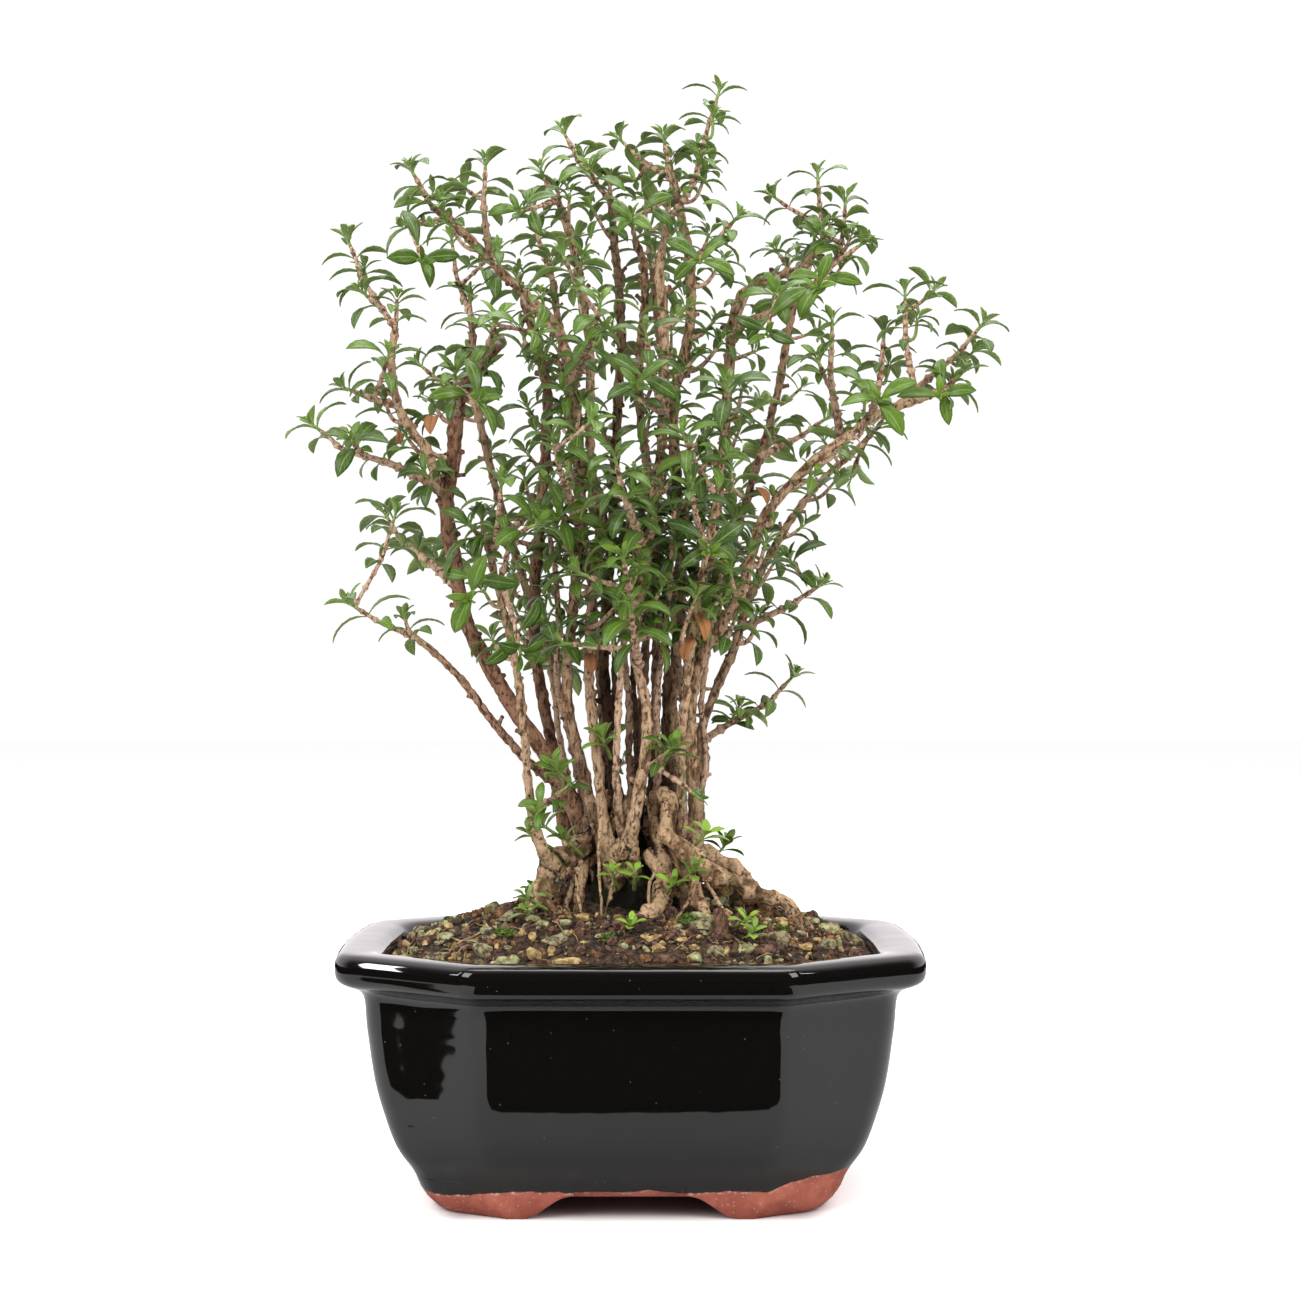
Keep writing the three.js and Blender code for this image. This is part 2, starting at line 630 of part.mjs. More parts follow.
function soilBed() {
  const wall = [...POT_INSIDE].reverse().map(([inset, height], level) => {
    const lift = level === 0 ? FIT_GAP : 0;
    return potOutline(inset + WALL_GAP, height + lift);
  });
  const edge = potOutline(POT_OUTSIDE.at(-1)[0] + WALL_GAP, SOIL_EDGE);
  const top = SOIL_RINGS.map((share) =>
    edge.map((p) => {
      const x = p.x * share;
      const y = p.y * share;
      return new THREE.Vector3(x, y, share === 1 ? SOIL_EDGE : soilHeight(x, y, share));
    }),
  );
  return loft([...wall, ...top]);
}

function pebbleSolids() {
  const random = seededRandom(PEBBLE_SEED);
  const edge = potOutline(POT_OUTSIDE.at(-1)[0], 0);
  const scatter = () => mix(-PEBBLE_SCATTER, PEBBLE_SCATTER, random());
  const pebbles = [];
  const places = [];
  for (let attempt = 0; attempt < PEBBLE_TRIES && pebbles.length < PEBBLE_COUNT; attempt += 1) {
    const corner = edge[Math.floor(random() * edge.length)];
    const share = mix(...PEBBLE_SHARES, Math.sqrt(random()));
    const x = corner.x * share + scatter();
    const y = corner.y * share + scatter();
    const size = mix(...PEBBLE_RADII, random() ** 1.6);
    const turns = [random() * 3, random() * 3, random() * 3];
    const fieldX = RIM_HALF_WIDTH - PEBBLE_FIELD_INSET;
    const fieldY = RIM_HALF_DEPTH - PEBBLE_FIELD_INSET;
    const outward = Math.hypot(x / fieldX, y / fieldY);
    const near = places.some((p) => Math.hypot(p[0] - x, p[1] - y) < p[2] + size + PEBBLE_SPACING);
    if (near || outward > PEBBLE_FIELD_LIMIT || Math.hypot(x, y) < PEBBLE_CLEAR_OF_WOOD) continue;
    places.push([x, y, size]);
    const geometry = new THREE.IcosahedronGeometry(size, 0);
    geometry.scale(...PEBBLE_SHAPE);
    geometry.rotateX(turns[0]).rotateY(0.3 * turns[1]).rotateZ(turns[2]);
    geometry.translate(x, y, soilHeight(x, y, outward) + PEBBLE_SHOWING * size);
    pebbles.push(solidOf(geometry));
  }
  return pebbles;
}

function stubSolid(grow = 0) {
  return tube(STUB.map(vec), STUB.map((point) => point[3]), STUB_SIDES, grow);
}

function soilSolid(woodCut) {
  let solid = soilBed();
  for (const pebble of pebbleSolids()) solid = solid.add(pebble);
  for (const signX of [-1, 1]) {
    const size = SCREEN_SIZE + 4 * FIT_GAP;
    const depth = 2 * (SCREEN_THICKNESS + 2 * FIT_GAP);
    solid = solid.subtract(boxSolid(size, size, depth, signX * DRAIN_X, 0, POT_FLOOR));
  }
  return solid.subtract(woodCut).subtract(stubSolid(FIT_GAP));
}

// ---------------------------------------------------------------- sprays: where the twigs run

// Points along the stems where a twig may leave, with the wood's radius there.
function woodSamples() {
  return Object.values(STEMS).flatMap(({ radii, route }) =>
    samplesAlong(route.map(vec), taperedRadii(radii, route.length), 'stems'),
  );
}

// The samples that a tip is best reached from, best first: near it, well below it, and away from
// the starts of other twigs.
function bestParents(tip, samples, starts) {
  const ranked = samples.map((sample) => {
    const reach = tip.distanceTo(sample.point);
    const level = PARENT_DROP_COST * Math.max(0, PARENT_DROP * reach - (tip.z - sample.point.z));
    const crowding = starts.map((start) => Math.max(0, START_SPACING - start.distanceTo(sample.point)));
    return { ...sample, cost: reach + level + CROWDING_COST * Math.max(0, ...crowding) };
  });
  ranked.sort((a, b) => a.cost - b.cost);
  const chosen = [];
  for (const sample of ranked) {
    if (chosen.length === PARENT_TRIES) break;
    if (chosen.every((one) => one.point.distanceTo(sample.point) > START_SPACING)) chosen.push(sample);
  }
  return chosen;
}

// A twig's points: it leaves outwards, rises, and bows sideways by a given amount.
function twigPoints(start, tip, bow) {
  const span = tip.distanceTo(start);
  const outward = new THREE.Vector3(tip.x - start.x, tip.y - start.y, 0);
  if (outward.length() < 1) outward.set(1, 0, 0);
  outward.normalize();
  const sideways = new THREE.Vector3(-outward.y, outward.x, 0);
  const handle = (from, { out, up, pull }, way) => {
    const point = from.clone().addScaledVector(outward, way * out * pull * span);
    return point.addScaledVector(UP, way * up * pull * span).addScaledVector(sideways, bow);
  };
  const first = handle(start, TWIG_LEAVING, 1);
  const second = handle(tip, TWIG_ARRIVING, -1);
  const curve = new THREE.CubicBezierCurve3(start, first, second, tip);
  return curve.getPoints(Math.max(2, Math.ceil(span / TWIG_STEP)));
}

// Least clearance between a twig's line and other wood, leaving out the wood that it grows from.
function lineClearance(points, obstacles, owner) {
  let least = Infinity;
  for (let i = 0; i + 1 < points.length; i += 1) {
    for (let k = 1; k <= SAMPLES_PER_SPAN; k += 1) {
      const point = points[i].clone().lerp(points[i + 1], k / SAMPLES_PER_SPAN);
      const nearStart = point.distanceTo(points[0]) < START_ZONE;
      for (const other of obstacles) {
        const parent = other.owner === 'stems' || other.owner === owner;
        if (parent && nearStart && other.point.distanceTo(points[0]) < START_ZONE) continue;
        least = Math.min(least, point.distanceTo(other.point) - other.radius);
      }
    }
  }
  return least;
}

// The first start and bow that clear other wood, or those that clear it most.
function clearTwig(parents, tip, obstacles, owner) {
  let best = null;
  for (const parent of parents) {
    for (const bow of TWIG_BOWS) {
      const points = twigPoints(parent.point, tip, bow);
      const clearance = lineClearance(points, obstacles, owner);
      if (best === null || clearance > best.clearance) best = { points, parent, clearance };
      if (best.clearance > TWIG_CLEARANCE) return best;
    }
  }
  return best;
}

function samplesAlong(points, radii, owner) {
  const samples = [];
  for (let i = 0; i + 1 < points.length; i += 1) {
    for (let k = 0; k < SAMPLES_PER_SPAN; k += 1) {
      const t = k / SAMPLES_PER_SPAN;
      const point = points[i].clone().lerp(points[i + 1], t);
      samples.push({ point, radius: mix(radii[i], radii[i + 1], t), owner });
    }
  }
  samples.push({ point: points.at(-1), radius: radii.at(-1), owner });
  return samples;
}

// A spray's shoots: the main twig from the wood to the first tip, and side shoots off that twig.
function planShoots(owner, tips, wood, obstacles, starts) {
  const mainTip = vec(tips[0]);
  const route = clearTwig(bestParents(mainTip, wood, starts), mainTip, obstacles, owner);
  starts.push(route.parent.point);
  const base = Math.min(TWIG_BASE_RADIUS, TWIG_SHARE * route.parent.radius);
  const radii = taperedRadii([base, TWIG_TIP_RADIUS], route.points.length);
  const shoots = [{ points: route.points, radii }];
  const main = samplesAlong(route.points, radii, owner);
  const forks = main.slice(
    Math.floor(main.length * SIDE_SHOOT_RANGE[0]),
    Math.ceil(main.length * SIDE_SHOOT_RANGE[1]),
  );
  obstacles.push(...main);
  for (const tip of tips.slice(1)) {
    const side = clearTwig(bestParents(vec(tip), forks, []), vec(tip), obstacles, owner);
    const sideBase = TWIG_SHARE * side.parent.radius;
    const sideRadii = taperedRadii([sideBase, TWIG_TIP_RADIUS], side.points.length);
    shoots.push({ points: side.points, radii: sideRadii });
    obstacles.push(...samplesAlong(side.points, sideRadii, owner));
  }
  return shoots;
}

// Tips over the canopy's far side, two to a spray.
function backSprays() {
  const sprays = [];
  for (let i = 0; i < BACK_SPRAY_COUNT; i += 1) {
    const height = mix(CANOPY[0][0], CANOPY.at(-1)[0], (i + 0.5) / BACK_SPRAY_COUNT);
    const turn = mix(...BACK_ARC, (0.5 + i * GOLDEN_TURN) % 1);
    const main = canopyPoint(height, turn, 1);
    const away = turn > 90 ? -1 : 1;
    const side = canopyPoint(
      height + BACK_TIP_SPREAD.rise,
      turn + away * BACK_TIP_SPREAD.turn,
      BACK_TIP_SPREAD.reach,
    );
    sprays.push([main, side]);
  }
  return sprays;
}

function canopyPoint(height, turn, reach) {
  let level = 0;
  while (level + 2 < CANOPY.length && CANOPY[level + 1][0] < height) level += 1;
  const [low, high] = [CANOPY[level], CANOPY[level + 1]];
  const t = (height - low[0]) / (high[0] - low[0]);
  const halfWidth = mix(low[1], high[1], t) * reach;
  const halfDepth = mix(low[2], high[2], t) * reach;
  return [halfWidth * Math.cos(turn * DEGREE), halfDepth * Math.sin(turn * DEGREE), height];
}

// ---------------------------------------------------------------- leaves

// The place on a shoot at a distance below its tip.
function shootAt(points, distance) {
  let left = distance;
  let i = points.length - 1;
  while (i > 1 && left > points[i].distanceTo(points[i - 1])) {
    left -= points[i].distanceTo(points[i - 1]);
    i -= 1;
  }
  const along = new THREE.Vector3().subVectors(points[i], points[i - 1]).normalize();
  return points[i].clone().addScaledVector(along, -left);
}

function lineLength(points) {
  return points.slice(1).reduce((sum, point, i) => sum + point.distanceTo(points[i]), 0);
}

// A shoot's line with the leaf bands' rings put in below its tip, and the radius at each point.
function shootLine({ points, radii }) {
  const total = lineLength(points);
  const bandRings = LEAF_BANDS.flatMap(({ below }) => [
    below + LEAF_BAND_HEIGHT / 2,
    below - LEAF_BAND_HEIGHT / 2,
  ]);
  const spots = [];
  let passed = 0;
  points.forEach((point, i) => {
    if (i > 0) passed += point.distanceTo(points[i - 1]);
    if (total - passed > bandRings[0] + LEAF_BAND_MARGIN) spots.push({ point, below: total - passed });
  });
  if (spots.length === 0) spots.push({ point: points[0], below: total });
  for (const below of bandRings) spots.push({ point: shootAt(points, below), below });
  spots.push({ point: points[points.length - 1], below: 0 });
  return {
    line: spots.map((spot) => spot.point),
    radii: spots.map((spot) => mix(radii.at(-1), radii[0], Math.min(1, spot.below / total))),
  };
}

// The leaves that a shoot may carry, each with its band, its side of the twig and its own random
// length and rise.
function leafPlans(shoot, seed) {
  const random = seededRandom(seed);
  const startSpin = random() * Math.PI;
  const { line, radii } = shootLine(shoot);
  const leaves = LEAF_BANDS.flatMap((band, index) =>
    [0, 2].map((opposite) => ({
      ring: line.length - 1 - 2 * (LEAF_BANDS.length - index),
      side: band.side + opposite,
      length: LEAF_LENGTH * (1 + LEAF_LENGTH_SPREAD * (2 * random() - 1)),
      rise: (band.rise + LEAF_RISE_SPREAD * (random() - 0.5)) * DEGREE,
      bend: band.bend * DEGREE,
      levels: band.levels,
    })),
  );
  return { line, radii, leaves, startSpin };
}

// A leaf's directions: its root, its way out of the twig, the axis that it rises along, and across.
function leafFrame(leaf, { line, radii }, frames, spin) {
  const turn = spin + (leaf.side + 0.5) * (Math.PI / 2);
  const { along, side, other } = frames[leaf.ring];
  const facing = side.clone().multiplyScalar(Math.cos(turn)).addScaledVector(other, Math.sin(turn));
  const axis = along.clone().multiplyScalar(1 - LEAF_UP_LEAN).addScaledVector(UP, LEAF_UP_LEAN).normalize();
  const outward = facing.clone().addScaledVector(axis, -facing.dot(axis)).normalize();
  const root = line[leaf.ring].clone().lerp(line[leaf.ring + 1], 0.5);
  root.addScaledVector(facing, radii[leaf.ring] * Math.SQRT1_2);
  return { root, outward, axis, across: new THREE.Vector3().crossVectors(axis, outward) };
}

// The keel, left and right points of a leaf at a share of its length. Its midline leaves at the
// leaf's rise and turns down evenly by its bend.
function leafSection(leaf, frame, share, breadth, grow) {
  const pitch = leaf.rise - leaf.bend * share;
  const out = ((Math.sin(leaf.rise) - Math.sin(pitch)) / leaf.bend) * leaf.length;
  const up = ((Math.cos(pitch) - Math.cos(leaf.rise)) / leaf.bend) * leaf.length;
  const middle = frame.root.clone().addScaledVector(frame.outward, out).addScaledVector(frame.axis, up);
  if (breadth === 0) return [middle];
  const normal = frame.axis.clone().multiplyScalar(Math.cos(pitch));
  normal.addScaledVector(frame.outward, -Math.sin(pitch));
  const halfWidth = (breadth * LEAF_WIDTH * leaf.length) / LEAF_LENGTH / 2 + EDGE_GROWTH * grow;
  const top = middle.clone().addScaledVector(normal, LEAF_FOLD * breadth + grow);
  const keel = middle.clone().addScaledVector(normal, -LEAF_KEEL * breadth - EDGE_GROWTH * grow);
  return [
    keel,
    top.clone().addScaledVector(frame.across, halfWidth),
    top.clone().addScaledVector(frame.across, -halfWidth),
  ];
}

function leafSections(leaf, frame, grow = 0) {
  const rings = leaf.levels.map(([share, breadth]) => leafSection(leaf, frame, share, breadth, grow));
  return [...rings, leafSection(leaf, frame, 1 + (TIP_GROWTH * grow) / leaf.length, 0, grow)];
}

// A leaf by itself, grown all round, to test whether its place is free.
function leafProbe(leaf, frame) {
  const stalk = leafSection(leaf, frame, LEAF_STALK.share, LEAF_STALK.breadth, LEAF_CLEARANCE);
  return loft([stalk, ...leafSections(leaf, frame, LEAF_CLEARANCE)]);
}

// A shoot with its leaves as one closed skin. Each leaf replaces one triangle of its twig's side.
function shootSolid({ line, radii, leaves, spin }) {
  const frames = tubeFrames(line);
  const rings = tubeRings(line, radii, TWIG_SIDES, spin).slice(0, -1);
  const points = rings.flat();
  const triangles = [];
  const cover = (corners, index) => (corners.length === 1 ? corners[0] : corners[index % corners.length]);
  const addBand = (from, to) => {
    from.forEach((corner, k) => {
      const quad = [corner, cover(from, k + 1), cover(to, k + 1), cover(to, k)];
      triangles.push([quad[0], quad[1], quad[2]]);
      if (quad[2] !== quad[3]) triangles.push([quad[0], quad[2], quad[3]]);
    });
  };
  const addPoints = (ring) => ring.map((point) => points.push(point) - 1);
  for (let ring = 0; ring + 1 < rings.length; ring += 1) {
    for (let k = 0; k < TWIG_SIDES; k += 1) {
      const low = ring * TWIG_SIDES;
      const next = (k + 1) % TWIG_SIDES;
      const [a, b, c, d] = [low + k, low + next, low + TWIG_SIDES + next, low + TWIG_SIDES + k];
      triangles.push([a, b, c]);
      const leaf = leaves.find((one) => one.ring === ring && one.side === k);
      if (leaf === undefined) {
        triangles.push([a, c, d]);
        continue;
      }
      let edge = [a, c, d];
      for (const section of leafSections(leaf, leafFrame(leaf, { line, radii }, frames, spin))) {
        const nextEdge = addPoints(section);
        addBand(edge, nextEdge);
        edge = nextEdge;
      }
    }
  }
  const last = (rings.length - 1) * TWIG_SIDES;
  addBand([0, 1, 2, 3].map((k) => last + k), addPoints([line[line.length - 1]]));
  triangles.push([0, 2, 1], [0, 3, 2]);
  return closedBody(points, triangles);
}

const touches = (a, b) => !a.intersect(b).isEmpty();

function boxesMeet(a, b) {
  return [0, 1, 2].every((k) => a.min[k] < b.max[k] && b.min[k] < a.max[k]);
}

function meetsAny(solid, others) {
  const box = solid.boundingBox();
  return others.some((other) => boxesMeet(box, other.boundingBox()) && touches(solid, other));
}

// Tries each spin of a shoot and keeps the one that leaves most of its leaves clear of other
// pieces, and clear of the spray's own other shoots where it can.
function leafyShoot(shoot, seed, neighbours, ownShoots) {
  const plan = leafPlans(shoot, seed);
  const frames = tubeFrames(plan.line);
  let best = { score: -1 };
  for (const turn of SHOOT_SPINS) {
    const spin = plan.startSpin + turn * DEGREE;
    const probes = plan.leaves.map((leaf) => leafProbe(leaf, leafFrame(leaf, plan, frames, spin)));
    const clear = plan.leaves.filter((_, i) => !meetsAny(probes[i], neighbours));
    const crossing = probes.filter((probe) => meetsAny(probe, ownShoots)).length;
    const score = clear.length - CROSSING_COST * crossing;
    if (score > best.score) best = { score, spin, clear };
  }
  return shootSolid({ ...plan, leaves: best.clear, spin: best.spin });
}

// ---------------------------------------------------------------- assembly

const wood = woodSolid(0);
const woodCut = woodSolid(FIT_GAP);
const soil = soilSolid(woodCut);
const pot = potSolid();

const bonsai = new THREE.Group();
bonsai.add(meshOf('pot', pot, COLORS.pot, 0.15));
bonsai.add(meshOf('drain_screen_left', screenSolid(-1), COLORS.screen, 0.6));
bonsai.add(meshOf('drain_screen_right', screenSolid(1), COLORS.screen, 0.6));
bonsai.add(meshOf('soil', soil, COLORS.soil, 0.95));
bonsai.add(meshOf('trunk_and_roots', wood, COLORS.wood, 0.85));
bonsai.add(meshOf('bark_stub', stubSolid(), COLORS.wood, 0.9));

const GROUPS = {
  left_spray: LEFT_SPRAYS,
  top_spray: TOP_SPRAYS,
  right_spray: RIGHT_SPRAYS,
  front_spray: FRONT_SPRAYS,
  back_top_spray: BACK_TOP_SPRAYS,
  back_spray: backSprays(),
  low_tuft: LOW_TUFTS,
};

// All twigs are routed before any leaf is placed, so that leaves give way to wood.
function planSprays() {
  const samples = woodSamples();
  const obstacles = [...samples];
  const starts = [];
  const sprays = [];
  for (const [group, list] of Object.entries(GROUPS)) {
    list.forEach((tips, i) => {
      const name = `${group}_${String(i + 1).padStart(2, '0')}`;
      sprays.push({ name, shoots: planShoots(name, tips, samples, obstacles, starts) });
    });
  }
  return sprays;
}

function bareTwigs(spray) {
  const tubes = spray.shoots.map((shoot) => {
    const { line, radii } = shootLine(shoot);
    return tube(line, radii, TWIG_SIDES + 2, FIT_GAP);
  });
  return joined(tubes);
}

function addSprays() {
  const sprays = planSprays();
  for (const spray of sprays) spray.solid = bareTwigs(spray);
  sprays.forEach((spray, index) => {
    const others = sprays.filter((other) => other !== spray).map((other) => other.solid);
    const neighbours = [...others, wood, soil, pot];
    const shoots = [];
    spray.shoots.forEach((shoot, k) => {
      const seed = LEAF_SEED + LEAF_SEED_STEP * index + k;
      shoots.push(leafyShoot(shoot, seed, neighbours, shoots));
    });
    spray.solid = largestBody(joined(shoots).subtract(woodCut));
    const color = spray.name.startsWith('low') ? COLORS.tuft : COLORS.leaf;
    bonsai.add(meshOf(spray.name, spray.solid, color, 0.5));
  });
}
addSprays();

export default bonsai;
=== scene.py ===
"""Looks of a serissa bonsai in its glazed pot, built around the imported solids.

Lengths are in millimetres until a mesh is made. +Z is up and the pot's front faces -Y.
"""

import math
from collections import namedtuple

import bmesh
import bpy
import numpy as np
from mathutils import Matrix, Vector, kdtree
from numpy.linalg import norm


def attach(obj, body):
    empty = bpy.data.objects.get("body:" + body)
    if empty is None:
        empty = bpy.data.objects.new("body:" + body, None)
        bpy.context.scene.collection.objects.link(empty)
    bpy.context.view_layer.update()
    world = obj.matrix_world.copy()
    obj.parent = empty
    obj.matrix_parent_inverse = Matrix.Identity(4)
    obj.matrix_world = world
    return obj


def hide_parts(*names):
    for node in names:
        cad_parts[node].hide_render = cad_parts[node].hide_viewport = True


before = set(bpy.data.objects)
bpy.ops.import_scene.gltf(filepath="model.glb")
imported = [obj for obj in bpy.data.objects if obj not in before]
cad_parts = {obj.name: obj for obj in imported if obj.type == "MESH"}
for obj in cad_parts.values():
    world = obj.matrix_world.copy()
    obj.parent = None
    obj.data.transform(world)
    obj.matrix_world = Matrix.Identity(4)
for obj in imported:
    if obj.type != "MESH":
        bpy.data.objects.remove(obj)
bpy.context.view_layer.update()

MM = 0.001
UP = np.array([0.0, 0.0, 1.0])
TURN = 2 * math.pi
QUARTER = math.pi / 2
# The middle of the whole outline. All places below are given from the pot's own middle.
OUTLINE_MIDDLE = np.array([6.0, 5.6, 0.0])

# ---------------- camera, stage and light

CAMERA_PLACE = (5.25, -618, 151)
CAMERA_LENS = 60.26
CAMERA_SENSOR = 36
FLOOR_HALF = 3000
FLOOR_GAIN = 1.55  # how bright the floor looks, and how much light it gives back
FLOOR_BOUNCE = 0.68
WORLD_LIGHT = 0.62
BACKDROP_GAIN = 1.05
SOFTBOXES = {  # place, aim, width, height, watts
    "left_softbox": ((-500, -560, 560), (0, 0, 150), 380, 520, 4.6),
    "right_softbox": ((520, -530, 520), (0, 0, 150), 340, 500, 3.6),
    "top_softbox": ((60, 60, 900), (0, 0, 150), 620, 520, 5.6),
    "left_strip": ((-790, -275, 560), (-72, -42, 66), 34, 480, 0.9),
    "right_strip": ((800, -262, 560), (72, -42, 66), 12, 260, 0.25),
}
DARK_CARDS = {  # the corners of dark cards that lie on the table and show only in the glaze
    "dark_ground": [
        [-37, -92], [0, -93], [33, -94], [52, -96], [69, -93], [83, -97], [96, -122], [108, -147],
        [155, -245], [175, -400], [-95, -400], [-74, -282], [-62, -168], [-57, -113], [-50, -104],
        [-44, -98],
    ],
    "dark_side": [
        [-113, -52], [-112, -57], [-119, -60], [-128, -64], [-136, -66], [-143, -70], [-152, -74],
        [-164, -76], [-172, -80], [-181, -86], [-190, -86], [-204, -91], [-230, -104], [-271, -115],
        [-330, -138], [-330, -120], [-296, -106], [-205, -72], [-180, -63], [-146, -59], [-129, -55],
    ],
}
# A small bright card that stands at the left, and shows only as a glint on the lip.
BRIGHT_CARD = [[-141, -66, 75], [-132, -72, 75], [-120, -56, 112], [-130, -50, 112]]
BRIGHT_CARD_GLOW = 30
DARK_ROOM = [400, 3000]  # where the darkness round the table starts and ends
DARK_ROOM_LIGHT = 0.02
BRIGHT_SIDE_LIGHT = 1.55
MIRRORED_TINT = (1.0, 0.945, 0.965, 1)
FLOOR_SHADE = (0.34, 0.27, 0.28, 1)  # what is left of the floor's brightness right under the pot

# ---------------- the part's own dimensions

POT_OUTSIDE = [
    [24, 6], [22.4, 7.8], [20.8, 10.6], [16, 18], [11.3, 32], [8.8, 47], [7, 56], [7.6, 59.4],
    [1.4, 61.2], [0, 63.6], [0.6, 66.4], [2.8, 68], [11.4, 68], [13.4, 65.6],
]
POT_INSIDE = [[14, 58], [18.2, 33], [27, 13]]
POT_LIP = [  # the lip's finer shape, from the wall up and over to the inside
    [8.2, 53], [7.9, 56], [7.2, 58.2], [5.2, 59.8], [2.6, 60.8], [0.8, 62], [0, 63.8], [0, 66.2],
    [0.3, 68], [1.3, 69.2], [3.2, 69.7], [7.4, 69.7], [11, 69.2], [12.8, 67.8], [13.5, 65],
]
CROWN = [
    [66, 1, 0, 12, 11], [74, 1, 0, 18, 17], [80, 0, 0, 21, 19], [88, 0, 1, 19, 17],
    [97, 0, 2, 17, 15], [104, 1, 2, 11, 10],
]
ROOTS = {  # x, y, z and radius of each point
    "left_arch": [
        [-9, -2, 98, 3.6], [-16, -5, 94, 3.2], [-22, -9, 91, 2.8], [-25, -12, 86, 2.5],
        [-24, -15, 81, 2.1], [-19, -17, 76, 1.7], [-16, -18, 69, 1.3],
    ],
    "left_inner": [[-8, 0, 94, 2.4], [-14, -4, 88, 1.8], [-18, -7, 80, 1.4], [-20, -8, 70, 1.1]],
    "right_knee": [
        [5, -4, 108, 2.6], [9, -9, 111, 2.8], [11, -12, 107, 2.9], [10, -14, 100, 3], [15, -15, 95, 3.2],
        [21, -15, 90, 2.9], [30, -14, 86, 2.7], [38, -12, 82, 2.3], [45, -11, 79, 1.8],
        [49, -11, 68, 1.2],
    ],
    "right_back": [
        [13, 0, 95, 3.2], [23, -2, 92, 2.4], [30, -3, 89, 2.2], [37, -4, 80, 1.7], [41, -4, 69, 1.2],
    ],
    "front_stub": [
        [6, -7, 94, 3.2], [9, -14, 87, 2.7], [7, -21, 81, 2.6], [2, -26, 77, 2.3], [-2, -29, 69, 1.6],
    ],
    "front_right": [[14, -12, 93, 2.6], [18, -18, 84, 2], [22, -23, 76, 1.4], [24, -25, 69, 1.1]],
    "front_left": [[-5, -8, 95, 2.8], [-5, -15, 87, 2.2], [-7, -21, 79, 1.7], [-9, -25, 69, 1.1]],
    "back_left": [[-8, 10, 94, 3.2], [-18, 18, 88, 2.6], [-25, 25, 81, 2.1], [-30, 30, 69, 1.3]],
    "back_right": [[9, 12, 94, 3.2], [16, 23, 87, 2.6], [19, 33, 80, 2.1], [20, 39, 69, 1.3]],
    "back_middle": [[0, 14, 92, 2.8], [-1, 25, 84, 2.2], [-4, 33, 77, 1.6], [-6, 38, 68, 1.1]],
}
